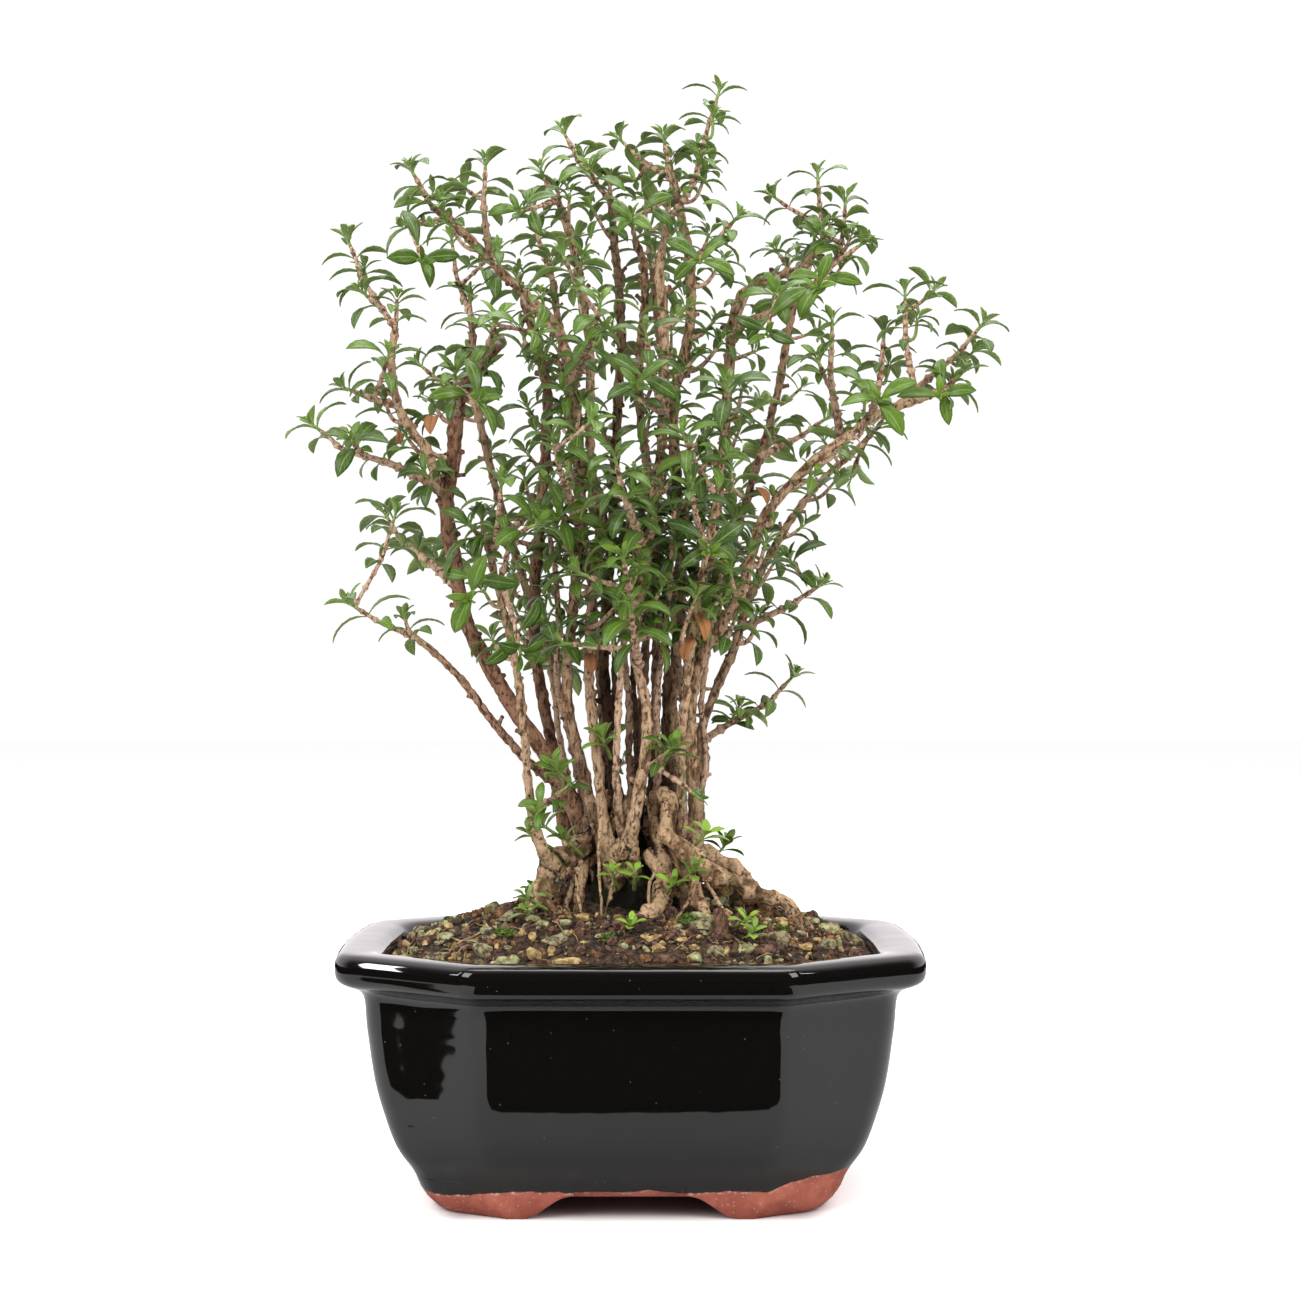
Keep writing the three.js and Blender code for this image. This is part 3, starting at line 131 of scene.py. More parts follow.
STEMS = {
    "cut_stem": {"radii": [3.6, 2.1], "route": [
        [-8, 4, 86], [-13, 2, 99], [-17, 0, 108], [-21, -1, 115], [-26, -2, 124], [-33, -3, 134],
        [-42, -5, 150], [-47, -6, 161], [-50, -6, 177], [-52, -6, 192], [-50, -6, 203], [-49, -6, 219],
        [-44, -7, 229], [-37, -8, 238],
    ]},
    "low_left_limb": {"radii": [1.7, 1], "route": [
        [-20, -1, 112], [-28, -8, 119], [-37, -10, 129], [-45, -12, 140], [-51, -13, 147],
        [-59, -14, 154],
    ]},
    "high_left_limb": {"radii": [1.8, 1], "route": [
        [-52, -6, 190], [-57, -8, 206], [-61, -9, 212], [-65, -10, 219], [-67, -10, 231], [-66, -10, 241],
    ]},
    "pale_left_stem": {"radii": [1.9, 1.1], "route": [
        [-20, -9, 89], [-25, -14, 96], [-28, -15, 109], [-30, -15, 133], [-33, -16, 153], [-36, -17, 165],
        [-40, -18, 181],
    ]},
    "straight_left_stem": {"radii": [2.6, 1.3], "route": [
        [-10, 6, 84], [-19, 7, 99], [-23, 6, 124], [-27, 6, 146], [-28, 6, 164], [-25, 4, 201],
        [-24, 4, 219], [-25, 4, 231], [-31, 8, 252],
    ]},
    "crooked_stem": {"radii": [2.4, 1.1], "route": [
        [-5, -3, 86], [-9, -5, 100], [-13, -4, 114], [-18, -5, 137], [-17, -5, 157], [-15, -3, 178],
        [-14, 0, 196], [-16, 0, 221], [-20, 0, 240], [-27, 0, 249], [-37, -4, 258], [-51, -8, 272],
    ]},
    "front_left_stem": {"radii": [2.2, 1], "route": [
        [-4, -6, 88], [-7, -9, 99], [-10, -9, 124], [-12, -9, 146], [-11, -7, 165], [-9, -3, 181],
        [-12, 3, 211], [-12, 6, 237], [-16, 6, 263], [-20, 5, 277],
    ]},
    "middle_stem": {"radii": [2.7, 1], "route": [
        [-2, 1, 88], [-3, 2, 100], [-7, 8, 132], [-8, 12, 154], [-6, 14, 182], [-4, 14, 224],
        [-3, 12, 244], [-6, 8, 280],
    ]},
    "forked_stem": {"radii": [2.4, 1], "route": [
        [0, -6, 88], [0, -11, 99], [4, -13, 122], [4, -13, 135], [1, -12, 154], [5, -8, 182],
        [9, -4, 216], [9, -4, 244], [8, -6, 258], [10, -6, 271],
    ]},
    "inner_stem": {"radii": [2.1, 0.9], "route": [
        [3, 0, 88], [5, -1, 99], [7, 1, 146], [6, 4, 188], [2, 9, 226], [4, 12, 257], [1, 12, 270],
    ]},
    "tall_stem": {"radii": [2.5, 1], "route": [
        [6, 5, 86], [9, 7, 98], [12, 6, 142], [14, 6, 165], [13, 5, 194], [12, 3, 221], [16, 2, 239],
        [17, 0, 259], [15, -1, 270], [12, -1, 284],
    ]},
    "front_right_stem": {"radii": [2, 1], "route": [
        [10, -4, 88], [14, -8, 98], [14, -11, 126], [17, -12, 154], [21, -11, 178], [24, -12, 193],
        [26, -18, 216],
    ]},
    "leaning_right_stem": {"radii": [2.6, 1.1], "route": [
        [13, -1, 84], [18, -2, 97], [17, -4, 121], [17, -5, 138], [21, -7, 151], [30, -10, 166],
        [34, -11, 179], [37, -12, 188], [49, -13, 202], [61, -13, 211], [70, -13, 217], [86, -11, 223],
    ]},
    "low_right_stem": {"radii": [2.1, 1], "route": [
        [12, 5, 86], [19, 8, 98], [20, 10, 127], [29, 12, 150], [35, 16, 168], [44, 18, 185],
        [54, 22, 199], [68, 26, 212],
    ]},
    "high_right_stem": {"radii": [2.4, 0.9], "route": [
        [8, 12, 86], [12, 17, 98], [17, 22, 139], [20, 22, 160], [26, 18, 201], [28, 12, 231],
        [31, 10, 252], [41, 8, 258], [49, 7, 261], [55, 6, 269],
    ]},
    "high_right_limb": {"radii": [1.3, 0.8], "route": [
        [29, 11, 240], [33, 6, 245], [47, 0, 250], [59, -2, 263],
    ]},
    "back_left_stem": {"radii": [2.3, 1], "route": [
        [-5, 11, 86], [-7, 16, 99], [-9, 26, 136], [-12, 32, 166], [-19, 38, 226], [-24, 37, 262],
    ]},
    "back_middle_stem": {"radii": [2.3, 1], "route": [
        [1, 11, 86], [2, 17, 98], [3, 29, 136], [5, 35, 166], [9, 42, 227], [6, 40, 266],
    ]},
    "back_right_stem": {"radii": [2.2, 1], "route": [
        [7, 13, 84], [12, 23, 97], [18, 36, 136], [25, 42, 166], [42, 48, 221], [49, 46, 256],
    ]},
    "back_far_left_stem": {"radii": [2.1, 1], "route": [
        [-8, 10, 84], [-12, 19, 97], [-21, 30, 136], [-31, 36, 166], [-46, 42, 218], [-49, 41, 252],
    ]},
}
SPRAY_TIPS = {  # the tip of each spray, and of its side shoot. The back sprays follow a rule.
    "left_spray": [
        [[-78, -18, 164], [-65, -16, 189]], [[-89, -12, 214], [-76, -26, 208]],
        [[-63, -12, 269], [-57, -22, 257]], [[-80, -6, 267], [-75, -14, 251]],
        [[-80, -14, 224], [-66, -24, 232]], [[-48, -24, 227], [-41, -30, 218]],
        [[-44, -26, 185], [-43, -30, 165]], [[-62, -10, 286], [-56, -2, 280]],
        [[-41, -6, 289], [-48, 2, 283]],
    ],
    "top_spray": [
        [[-26, 0, 288], [-31, -12, 273]], [[-20, 4, 300], [-12, -4, 287]], [[-4, 6, 298], [1, 14, 287]],
        [[9, -6, 296], [0, -20, 269]], [[25, 0, 310], [19, -8, 289]], [[30, -12, 272], [19, -22, 257]],
        [[53, 2, 287], [40, 8, 282]], [[61, 2, 280], [53, -10, 268]], [[66, -6, 266], [52, -16, 251]],
        [[40, -18, 249], [37, -24, 237]],
    ],
    "right_spray": [
        [[93, -12, 229], [85, -20, 220]], [[76, -14, 251], [85, -8, 252]], [[99, -8, 243]],
        [[71, -8, 241], [68, -24, 219]], [[56, -12, 243], [51, -22, 231]], [[55, 10, 170], [45, 2, 177]],
        [[76, 28, 222], [65, 30, 202]],
    ],
    "front_spray": [
        [[-21, -34, 209], [-10, -40, 212]], [[-4, -44, 202], [0, -36, 192]],
        [[14, -34, 209], [26, -30, 203]], [[16, -38, 194], [21, -32, 177]],
        [[26, -36, 222], [36, -24, 218]], [[-36, -28, 241], [-25, -34, 236]],
        [[-35, -28, 197], [-25, -32, 185]], [[-33, -24, 181], [-30, -26, 150]],
        [[-2, -38, 176], [-14, -30, 172]], [[0, -36, 163], [-19, -26, 153]],
        [[4, -32, 237], [2, -38, 221]], [[-8, -32, 245], [-19, -24, 260]],
    ],
    "back_top_spray": [
        [[-30, 40, 287], [-17, 46, 277]], [[4, 42, 294], [14, 34, 284]], [[56, 46, 279], [43, 38, 272]],
        [[-55, 42, 276], [-42, 33, 270]],
    ],
    "back_spray": [],
    "low_tuft": [[[-17, -23, 114], [-25, -24, 107]], [[11, -20, 124], [19, -18, 110]]],
}
CANOPY = [  # height, half the width and half the depth there
    [120, 38, 44], [150, 62, 58], [185, 74, 64], [215, 86, 68], [240, 86, 66], [262, 74, 60],
]
RIM_HALF_WIDTH = 80
RIM_HALF_DEPTH = 62
FRONT_CORNER_X = 42
SIDE_CORNER_Y = 38
POT_CORNER_RADIUS = 9
FOOT_TOP = 9
FOOT_FRONT_END_X = 15
FOOT_SIDE_END_Y = 5
DRAIN_X = 25
DRAIN_RADIUS = 7
SOIL_EDGE = 64
SOIL_RISE = 13.6
SOIL_FALLOFF = 4.5
CROWN_LOBES = 5
CROWN_LOBE_DEPTH = 0.09
CROWN_LOBE_TWIST = 0.4
STUB = [[24, -30, 67, 1.9], [24.4, -30.3, 75.4, 2.05], [23.8, -30.6, 81, 1.5]]

BACK_SPRAY_COUNT = 9
BACK_ARC = [14, 166]
BACK_TIP_SPREAD = {"turn": 15, "rise": -13, "reach": 0.97}
GOLDEN_TURN = 0.618034

TWIG_BASE_RADIUS = 1.15
TWIG_TIP_RADIUS = 0.62
TWIG_STEP = 17
TWIG_CLEARANCE = 1.9
START_ZONE = 9
START_SPACING = 7
PARENT_TRIES = 4
PARENT_DROP = 0.55
PARENT_DROP_COST = 1.3
CROWDING_COST = 3
TWIG_SHARE = 0.85
TWIG_LEAVING = {"out": 0.75, "up": 0.66, "pull": 0.36}
TWIG_ARRIVING = {"out": 0.45, "up": 0.89, "pull": 0.3}
SAMPLES_PER_SPAN = 5
TWIG_BOWS = [0, 3, -3, 6, -6, 9, -9]
SIDE_SHOOT_RANGE = [0.25, 0.82]

LEAF_LENGTH = 12
LEAF_LENGTH_SPREAD = 0.16
LEAF_UP_LEAN = 0.45
LEAF_BANDS = [
    {"below": 6.4, "rise": 34, "bend": 84, "side": 0},
    {"below": 1.7, "rise": 52, "bend": 84, "side": 1},
]
LEAF_BAND_HEIGHT = 1
LEAF_BAND_MARGIN = 2.5
LEAF_RISE_SPREAD = 12
SHOOT_SPINS = [0, 30, 60]
LEAF_SEED = 1000
LEAF_SEED_STEP = 10
LEAF_TIP_MATCH = 0.05

# ---------------- small helpers


def mix(a, b, t):
    return a + (b - a) * t


def unit(vector):
    return vector / norm(vector)


def spoke(side, other, turn):
    """The direction that is turned from one side towards the other."""
    return side * math.cos(turn) + other * math.sin(turn)


def around(count):
    """Angles evenly round a circle."""
    return TURN * np.arange(count) / count


def turned(vector, about, angle):
    """A vector turned round a unit axis that it is square to."""
    return vector * math.cos(angle) + np.cross(about, vector) * math.sin(angle)


def seeded_random(seed):
    """The part's own random draws, so that its leaves can be found again."""
    state = seed

    def product(a, b):
        return (a * b) & 0xFFFFFFFF

    def draw():
        nonlocal state
        state = (state + 0x6D2B79F5) & 0xFFFFFFFF
        t = product(state ^ (state >> 15), state | 1)
        t ^= (t + product(t ^ (t >> 7), t | 61)) & 0xFFFFFFFF
        return (t ^ (t >> 14)) / 4294967296

    return draw


def lumps(points, size, seed=0):
    """Smooth random values from -1 to 1 at each point, which change over the given size."""
    place = np.asarray(points, float) / size + seed * 17.31
    cell = np.floor(place).astype(np.int64)
    part = place - cell
    blend = part * part * (3 - 2 * part)
    total = np.zeros(place.shape[:-1])
    for corner in np.ndindex(2, 2, 2):
        at = cell + np.array(corner)
        mixed = (at[..., 0] * 73856093) ^ (at[..., 1] * 19349663) ^ (at[..., 2] * 83492791)
        mixed = mixed & 0xFFFFFFFF
        mixed = ((mixed ^ (mixed >> 13)) * 1274126177) & 0xFFFFFFFF
        value = ((mixed ^ (mixed >> 16)) & 0xFFFF) / 32767.5 - 1
        weight = np.prod(np.where(np.array(corner) == 1, blend, 1 - blend), axis=-1)
        total += value * weight
    return total


class Shell:
    """Points, faces and per-point values that are gathered piece by piece into one mesh."""

    def __init__(self):
        self.points = []
        self.faces = []
        self.finishes = []
        self.values = []
        self.count = 0

    def add(self, points, faces, finish=0, **values):
        """Adds blocks of faces. The finish is one number, or one for each block."""
        points = np.asarray(points, float).reshape(-1, 3)
        finishes = finish if isinstance(finish, (list, tuple)) else [finish] * len(faces)
        for block, number in zip(faces, finishes):
            block = np.asarray(block, int)
            self.faces.append(block + self.count)
            self.finishes.append(np.full(len(block), number))
        self.points.append(points)
        given = {name: np.asarray(value, float) for name, value in values.items()}
        self.values.append({
            name: np.broadcast_to(value, (len(points), *value.shape[1:])) for name, value in given.items()
        })
        self.count += len(points)

    def layers(self):
        """Each named value at every point, which is zero where a block has none."""
        shapes = {name: value.shape[1:] for values in self.values for name, value in values.items()}
        blank = [np.zeros((len(points), 3)) for points in self.points]
        for name, shape in shapes.items():
            yield name, np.concatenate([values.get(name, zeros if shape else zeros[:, 0])
                                        for values, zeros in zip(self.values, blank)])

    def thing(self, name, materials, sharp_angle=None):
        """The mesh object, in metres and from the middle of the whole outline."""
        mesh = bpy.data.meshes.new(name)
        corners = np.concatenate([block.ravel() for block in self.faces])
        totals = np.concatenate([np.full(len(block), block.shape[1]) for block in self.faces])
        mesh.vertices.add(self.count)
        mesh.loops.add(len(corners))
        mesh.polygons.add(len(totals))
        places = (np.concatenate(self.points) - OUTLINE_MIDDLE) * MM
        mesh.vertices.foreach_set("co", places.ravel())
        mesh.loops.foreach_set("vertex_index", corners)
        mesh.polygons.foreach_set("loop_start", np.concatenate([[0], np.cumsum(totals)[:-1]]))
        for material in materials:
            mesh.materials.append(FINISHES[material])
        mesh.polygons.foreach_set("material_index", np.concatenate(self.finishes))
        mesh.polygons.foreach_set("use_smooth", np.ones(len(totals), bool))
        for key, value in self.layers():
            kind, field = ("FLOAT", "value") if value.ndim == 1 else ("FLOAT_VECTOR", "vector")
            layer = mesh.attributes.new(key, kind, "POINT")
            layer.data.foreach_set(field, value.ravel())
        mesh.update(calc_edges=True)
        mesh.validate()
        if sharp_angle is not None:
            mesh.set_sharp_from_angle(angle=math.radians(sharp_angle))
        return placed(name, mesh)

    def piece(self, name, materials, replaces=(), sharp_angle=None):
        """The mesh object, with what it stands for and is finished as."""
        return settle(self.thing(name, materials, sharp_angle), replaces)


def placed(name, data):
    """A new object in the scene."""
    thing = bpy.data.objects.new(name, data)
    bpy.context.scene.collection.objects.link(thing)
    return thing


def settle(thing, replaces=()):
    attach(thing, "root")
    if replaces:
        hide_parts(*replaces)
    return thing


def grid_faces(rows, columns, closed=True):
    """Four-sided faces between rows of points, which may close on themselves."""
    last = columns if closed else columns - 1
    row, column = np.meshgrid(np.arange(rows - 1), np.arange(last), indexing="ij")
    after = (column + 1) % columns
    corners = [row * columns + column, row * columns + after]
    corners += [(row + 1) * columns + after, (row + 1) * columns + column]
    return np.stack([c.ravel() for c in corners], axis=1)


def fan_faces(start, columns, tip, flip=False):
    ring = start + np.arange(columns)
    after = start + (np.arange(columns) + 1) % columns
    order = [after, ring] if flip else [ring, after]
    return np.stack([*order, np.full(columns, tip)], axis=1)


def smooth_path(points, step):
    """Even points on a curve through the given ones, with where each lies among them."""
    given = np.asarray(points, float)
    ends = [2 * given[0] - given[1], *given, 2 * given[-1] - given[-2]]
    spots, indices = [given[0]], [0.0]
    for i in range(len(given) - 1):
        a, b, c, d = ends[i : i + 4]
        for t in np.linspace(0, 1, 9)[1:]:
            curve = 2 * b + (c - a) * t
            curve = curve + (2 * a - 5 * b + 4 * c - d) * t**2 + (3 * b - a - 3 * c + d) * t**3
            spots.append(curve / 2)
            indices.append(i + t)
    spots = np.array(spots)
    run = np.concatenate([[0], np.cumsum(norm(np.diff(spots, axis=0), axis=1))])
    count = max(3, int(round(run[-1] / step)) + 1)
    even = np.linspace(0, run[-1], count)
    path = np.stack([np.interp(even, run, spots[:, k]) for k in range(3)], axis=1)
    return path, np.interp(even, run, indices), even


def grown(route, step):
    """A smooth path through points that have a radius each, with its radii."""
    path, index, _ = smooth_path(np.array(route, float)[:, :3], step)
    return path, np.interp(index, np.arange(len(route)), [point[3] for point in route])


def stem_path(stem, step):
    """A stem's smooth path, its radii and the distance run at each point."""
    path, index, run = smooth_path(stem["route"], step)
    return path, np.interp(index, [0, len(stem["route"]) - 1], stem["radii"]), run


def drift(points, size, seed):
    """Smooth random moves of points, each way from -1 to 1."""
    return np.stack([lumps(points, size, seed + k) for k in range(3)], axis=1)


def tube_frames(points):
    """Directions along a tube and across it, turned as little as possible on the way."""
    points = np.asarray(points, float)
    ahead = np.vstack([points[1:], points[-1:]])
    behind = np.vstack([points[:1], points[:-1]])
    along = ahead - behind
    along /= norm(along, axis=1)[:, None]
    side = np.cross([0.0, 1.0, 0.0], along[0])
    sides = []
    for direction in along:
        side = unit(side - direction * side.dot(direction))
        sides.append(side)
    sides = np.array(sides)
    return along, sides, np.cross(along, sides)


def add_tube(shell, path, radii, sides, finish, spin=0.0, **values):
    """A closed tube. Radii and values are one for each ring, or one for each point of each ring."""
    _, side, other = tube_frames(path)
    radii = np.asarray(radii, float)
    radii = radii[:, None] if radii.ndim == 1 else radii
    angles = spin + around(sides)
    spokes = np.cos(angles)[None, :, None] * side[:, None] + np.sin(angles)[None, :, None] * other[:, None]
    rings = path[:, None] + radii[..., None] * spokes
    start_tip = path[0] - 0.3 * radii[0].mean() * unit(path[1] - path[0])
    end_tip = path[-1] + 0.5 * radii[-1].mean() * unit(path[-1] - path[-2])
    points = np.vstack([rings.reshape(-1, 3), start_tip, end_tip])
    count = len(path) * sides
    caps = [fan_faces(0, sides, count, True), fan_faces(count - sides, sides, count + 1)]
    spread = {}
    for key, value in values.items():
        value = np.asarray(value, float)
        value = np.broadcast_to(value[:, None] if value.ndim == 1 else value, (len(path), sides))
        spread[key] = np.concatenate([value.ravel(), value[0, :1], value[-1, :1]])
    shell.add(points, [grid_faces(len(path), sides), *caps], finish, **spread)


# ---------------- where the twigs run


def tapered(radii, count):
    return [mix(radii[0], radii[1], i / (count - 1)) for i in range(count)]


def stations(values, steps):
    """Values between each two neighbours, at the given steps of a span."""
    pairs = list(zip(values, values[1:]))
    return [mix(one, after, k / SAMPLES_PER_SPAN) for one, after in pairs for k in steps]


def samples_along(points, radii, owner):
    steps = range(SAMPLES_PER_SPAN)
    places = [*stations(points, steps), points[-1]]
    return [(place, size, owner) for place, size in zip(places, [*stations(radii, steps), radii[-1]])]


def best_parents(tip, samples, starts):
    """The samples that a tip is best reached from, best first."""
    ranked = []
    for point, radius, _ in samples:
        reach = norm(tip - point)
        level = PARENT_DROP_COST * max(0, PARENT_DROP * reach - (tip[2] - point[2]))
        crowding = [START_SPACING - norm(start - point) for start in starts]
        ranked.append((reach + level + CROWDING_COST * max([0, *crowding]), point, radius))
    chosen = []
    for _, point, radius in sorted(ranked, key=lambda one: one[0]):
        if len(chosen) < PARENT_TRIES and all(norm(one[0] - point) > START_SPACING for one in chosen):
            chosen.append((point, radius))
    return chosen


def twig_points(start, tip, bow):
    """A twig's points: it leaves outwards, rises, and bows sideways by a given amount."""
    span = norm(tip - start)
    outward = np.array([tip[0] - start[0], tip[1] - start[1], 0.0])
    if norm(outward) < 1:
        outward = np.array([1.0, 0.0, 0.0])
    outward = unit(outward)
    sideways = np.array([-outward[1], outward[0], 0.0])

    def handle(origin, way_of, way):
        pull = way * way_of["pull"] * span
        return origin + outward * way_of["out"] * pull + UP * way_of["up"] * pull + sideways * bow

    first = handle(start, TWIG_LEAVING, 1)
    second = handle(tip, TWIG_ARRIVING, -1)
    count = max(2, math.ceil(span / TWIG_STEP))
    points = []
    for i in range(count + 1):
        t = i / count
        u = 1 - t
        points.append(u**3 * start + 3 * u * u * t * first + 3 * u * t * t * second + t**3 * tip)
    return points


class Obstacles:
    """Points of other wood that twigs keep clear of."""

    def __init__(self, rows):
        self.rows = []
        self.add(rows)

    def add(self, rows):
        self.rows += rows
        self.points = np.array([row[0] for row in self.rows])
        self.radii = np.array([row[1] for row in self.rows])
        self.owners = np.array([row[2] for row in self.rows])

    def clearance(self, points, owner):
        probes = np.array(stations(points, range(1, SAMPLES_PER_SPAN + 1)))
        near_start = norm(probes - points[0], axis=1) < START_ZONE
        parent = (self.owners == "stems") | (self.owners == owner)
        parent &= norm(self.points - points[0], axis=1) < START_ZONE
        gaps = norm(probes[:, None] - self.points[None], axis=2) - self.radii
        gaps[near_start[:, None] & parent[None]] = np.inf
        return gaps.min()


def clear_twig(parents, tip, obstacles, owner):
    best = None
    for point, radius in parents:
        for bow in TWIG_BOWS:
            points = twig_points(point, tip, bow)
            clearance = obstacles.clearance(points, owner)
            if best is None or clearance > best["clearance"]:
                best = {"points": points, "start": point, "radius": radius, "clearance": clearance}
            if best["clearance"] > TWIG_CLEARANCE:
                return best
    return best


def plan_shoots(owner, tips, wood, obstacles, starts):
    """A spray's shoots: its main twig from the wood to the first tip, and side shoots off it."""
    shoots = []
    for tip in np.array(tips, float):
        parents = best_parents(tip, forks, []) if shoots else best_parents(tip, wood, starts)
        route = clear_twig(parents, tip, obstacles, owner)
        base = min(TWIG_BASE_RADIUS, TWIG_SHARE * route["radius"])
        radii = tapered([base, TWIG_TIP_RADIUS], len(route["points"]))
        samples = samples_along(route["points"], radii, owner)
        obstacles.add(samples)
        if not shoots:
            starts.append(route["start"])
            low, high = (len(samples) * share for share in SIDE_SHOOT_RANGE)
            forks = samples[math.floor(low) : math.ceil(high)]
        shoots.append({"points": route["points"], "radii": radii})
    return shoots


def canopy_point(height, turn, reach):
    level = 0
    while level + 2 < len(CANOPY) and CANOPY[level + 1][0] < height:
        level += 1
    low, high = CANOPY[level], CANOPY[level + 1]
    t = (height - low[0]) / (high[0] - low[0])
    half_width = mix(low[1], high[1], t) * reach
    half_depth = mix(low[2], high[2], t) * reach
    angle = math.radians(turn)
    return [half_width * math.cos(angle), half_depth * math.sin(angle), height]


def back_sprays():
    sprays = []
    for i in range(BACK_SPRAY_COUNT):
        height = mix(CANOPY[0][0], CANOPY[-1][0], (i + 0.5) / BACK_SPRAY_COUNT)
        turn = mix(BACK_ARC[0], BACK_ARC[1], (0.5 + i * GOLDEN_TURN) % 1)
        away = -1 if turn > 90 else 1
        side = canopy_point(height + BACK_TIP_SPREAD["rise"], turn + away * BACK_TIP_SPREAD["turn"],
                            BACK_TIP_SPREAD["reach"])
        sprays.append([canopy_point(height, turn, 1), side])
    return sprays


def plan_sprays():
    samples = []
    for stem in STEMS.values():
        route = [np.array(point, float) for point in stem["route"]]
        samples += samples_along(route, tapered(stem["radii"], len(route)), "stems")
    obstacles = Obstacles(samples)
    starts = []
    sprays = []
    for group, tip_lists in {**SPRAY_TIPS, "back_spray": back_sprays()}.items():
        for i, tips in enumerate(tip_lists):
            name = f"{group}_{i + 1:02d}"
            sprays.append((name, plan_shoots(name, tips, samples, obstacles, starts)))
    return sprays


def shoot_at(points, distance):
    left = distance
    i = len(points) - 1
    while i > 1 and left > norm(points[i] - points[i - 1]):
        left -= norm(points[i] - points[i - 1])
        i -= 1
    return points[i] - unit(points[i] - points[i - 1]) * left


def shoot_line(shoot):
    """The solid shoot's points and radii, with its leaf bands' rings put in below its tip."""
    points = shoot["points"]
    total = sum(norm(points[i + 1] - points[i]) for i in range(len(points) - 1))
    half = LEAF_BAND_HEIGHT / 2
    band_rings = [band["below"] + edge for band in LEAF_BANDS for edge in (half, -half)]
    spots = []
    passed = 0
    for i, point in enumerate(points):
        if i > 0:
            passed += norm(point - points[i - 1])
        if total - passed > band_rings[0] + LEAF_BAND_MARGIN:
            spots.append((point, total - passed))
    if not spots:
        spots.append((points[0], total))
    spots += [(shoot_at(points, below), below) for below in band_rings]
    spots.append((points[-1], 0))
    radii = [mix(shoot["radii"][-1], shoot["radii"][0], min(1, below / total)) for _, below in spots]
    return np.array([spot[0] for spot in spots]), np.array(radii)


def leaf_plans(line, seed):
    draw = seeded_random(seed)
    spin = draw() * math.pi
    leaves = []
    for index, band in enumerate(LEAF_BANDS):
        for opposite in (0, 2):
            length = LEAF_LENGTH * (1 + LEAF_LENGTH_SPREAD * (2 * draw() - 1))
            rise = math.radians(band["rise"] + LEAF_RISE_SPREAD * (draw() - 0.5))
            ring = len(line) - 1 - 2 * (len(LEAF_BANDS) - index)
            leaves.append({"ring": ring, "side": band["side"] + opposite, "length": length, "rise": rise,
                           "bend": math.radians(band["bend"])})
    return spin, leaves


def leaf_place(point, along, facing, radius):
    """A leaf's root, its way out of the twig, the axis that it rises along, and across."""
    axis = unit(along * (1 - LEAF_UP_LEAN) + UP * LEAF_UP_LEAN)
    outward = unit(facing - axis * facing.dot(axis))
    return {"root": point + facing * radius, "outward": outward, "axis": axis,
            "across": np.cross(axis, outward)}


def solid_leaf_place(leaf, line, radii, frames, spin):
    turn = spin + (leaf["side"] + 0.5) * QUARTER
    along, side, other = (direction[leaf["ring"]] for direction in frames)
    facing = spoke(side, other, turn)
    point = mix(line[leaf["ring"]], line[leaf["ring"] + 1], 0.5)
    return leaf_place(point, along, facing, radii[leaf["ring"]] * math.sqrt(0.5))


def midline(leaf, place, share):
    """Where a leaf's midline is at a share of its length, and its upper face's normal there."""
    pitch = leaf["rise"] - leaf["bend"] * share
    out = (math.sin(leaf["rise"]) - np.sin(pitch)) / leaf["bend"] * leaf["length"]
    up = (np.cos(pitch) - math.cos(leaf["rise"])) / leaf["bend"] * leaf["length"]
    outward, axis = place["outward"], place["axis"]
    middle = place["root"] + np.multiply.outer(out, outward) + np.multiply.outer(up, axis)
    normal = np.multiply.outer(np.cos(pitch), axis) - np.multiply.outer(np.sin(pitch), outward)
    return middle, normal


def found_leaves(node, line, radii, seed):
    """The leaves that the solid spray has on one shoot: the spin whose leaf tips it holds."""
    tree = NODE_TREES[node]
    frames = tube_frames(line)
    start_spin, plans = leaf_plans(line, seed)
    best_spin, best = start_spin, []
    for extra in SHOOT_SPINS:
        spin = start_spin + math.radians(extra)
        here = []
        for leaf in plans:
            place = solid_leaf_place(leaf, line, radii, frames, spin)
            tip, _ = midline(leaf, place, 1.0)
            if tree.find(tip)[2] < LEAF_TIP_MATCH:
                here.append({**leaf, "place": place})
        if len(here) > len(best):
            best_spin, best = spin, here
    return best_spin, best


def mesh_array(items, name, width):
    """One property of a mesh's points, corners or faces, as rows."""
    values = np.empty(len(items) * width)
    items.foreach_get(name, values)
    return values.reshape(-1, width)


def given_points(mesh):
    """A mesh's points in millimetres, from the pot's middle."""
    return mesh_array(mesh.vertices, "co", 3) / MM + OUTLINE_MIDDLE


def tree_of(points):
    """A tree that finds the nearest one of many points."""
    tree = kdtree.KDTree(len(points))
    for i, point in enumerate(points):
        tree.insert(point, i)
    tree.balance()
    return tree


# ---------------- shader helpers


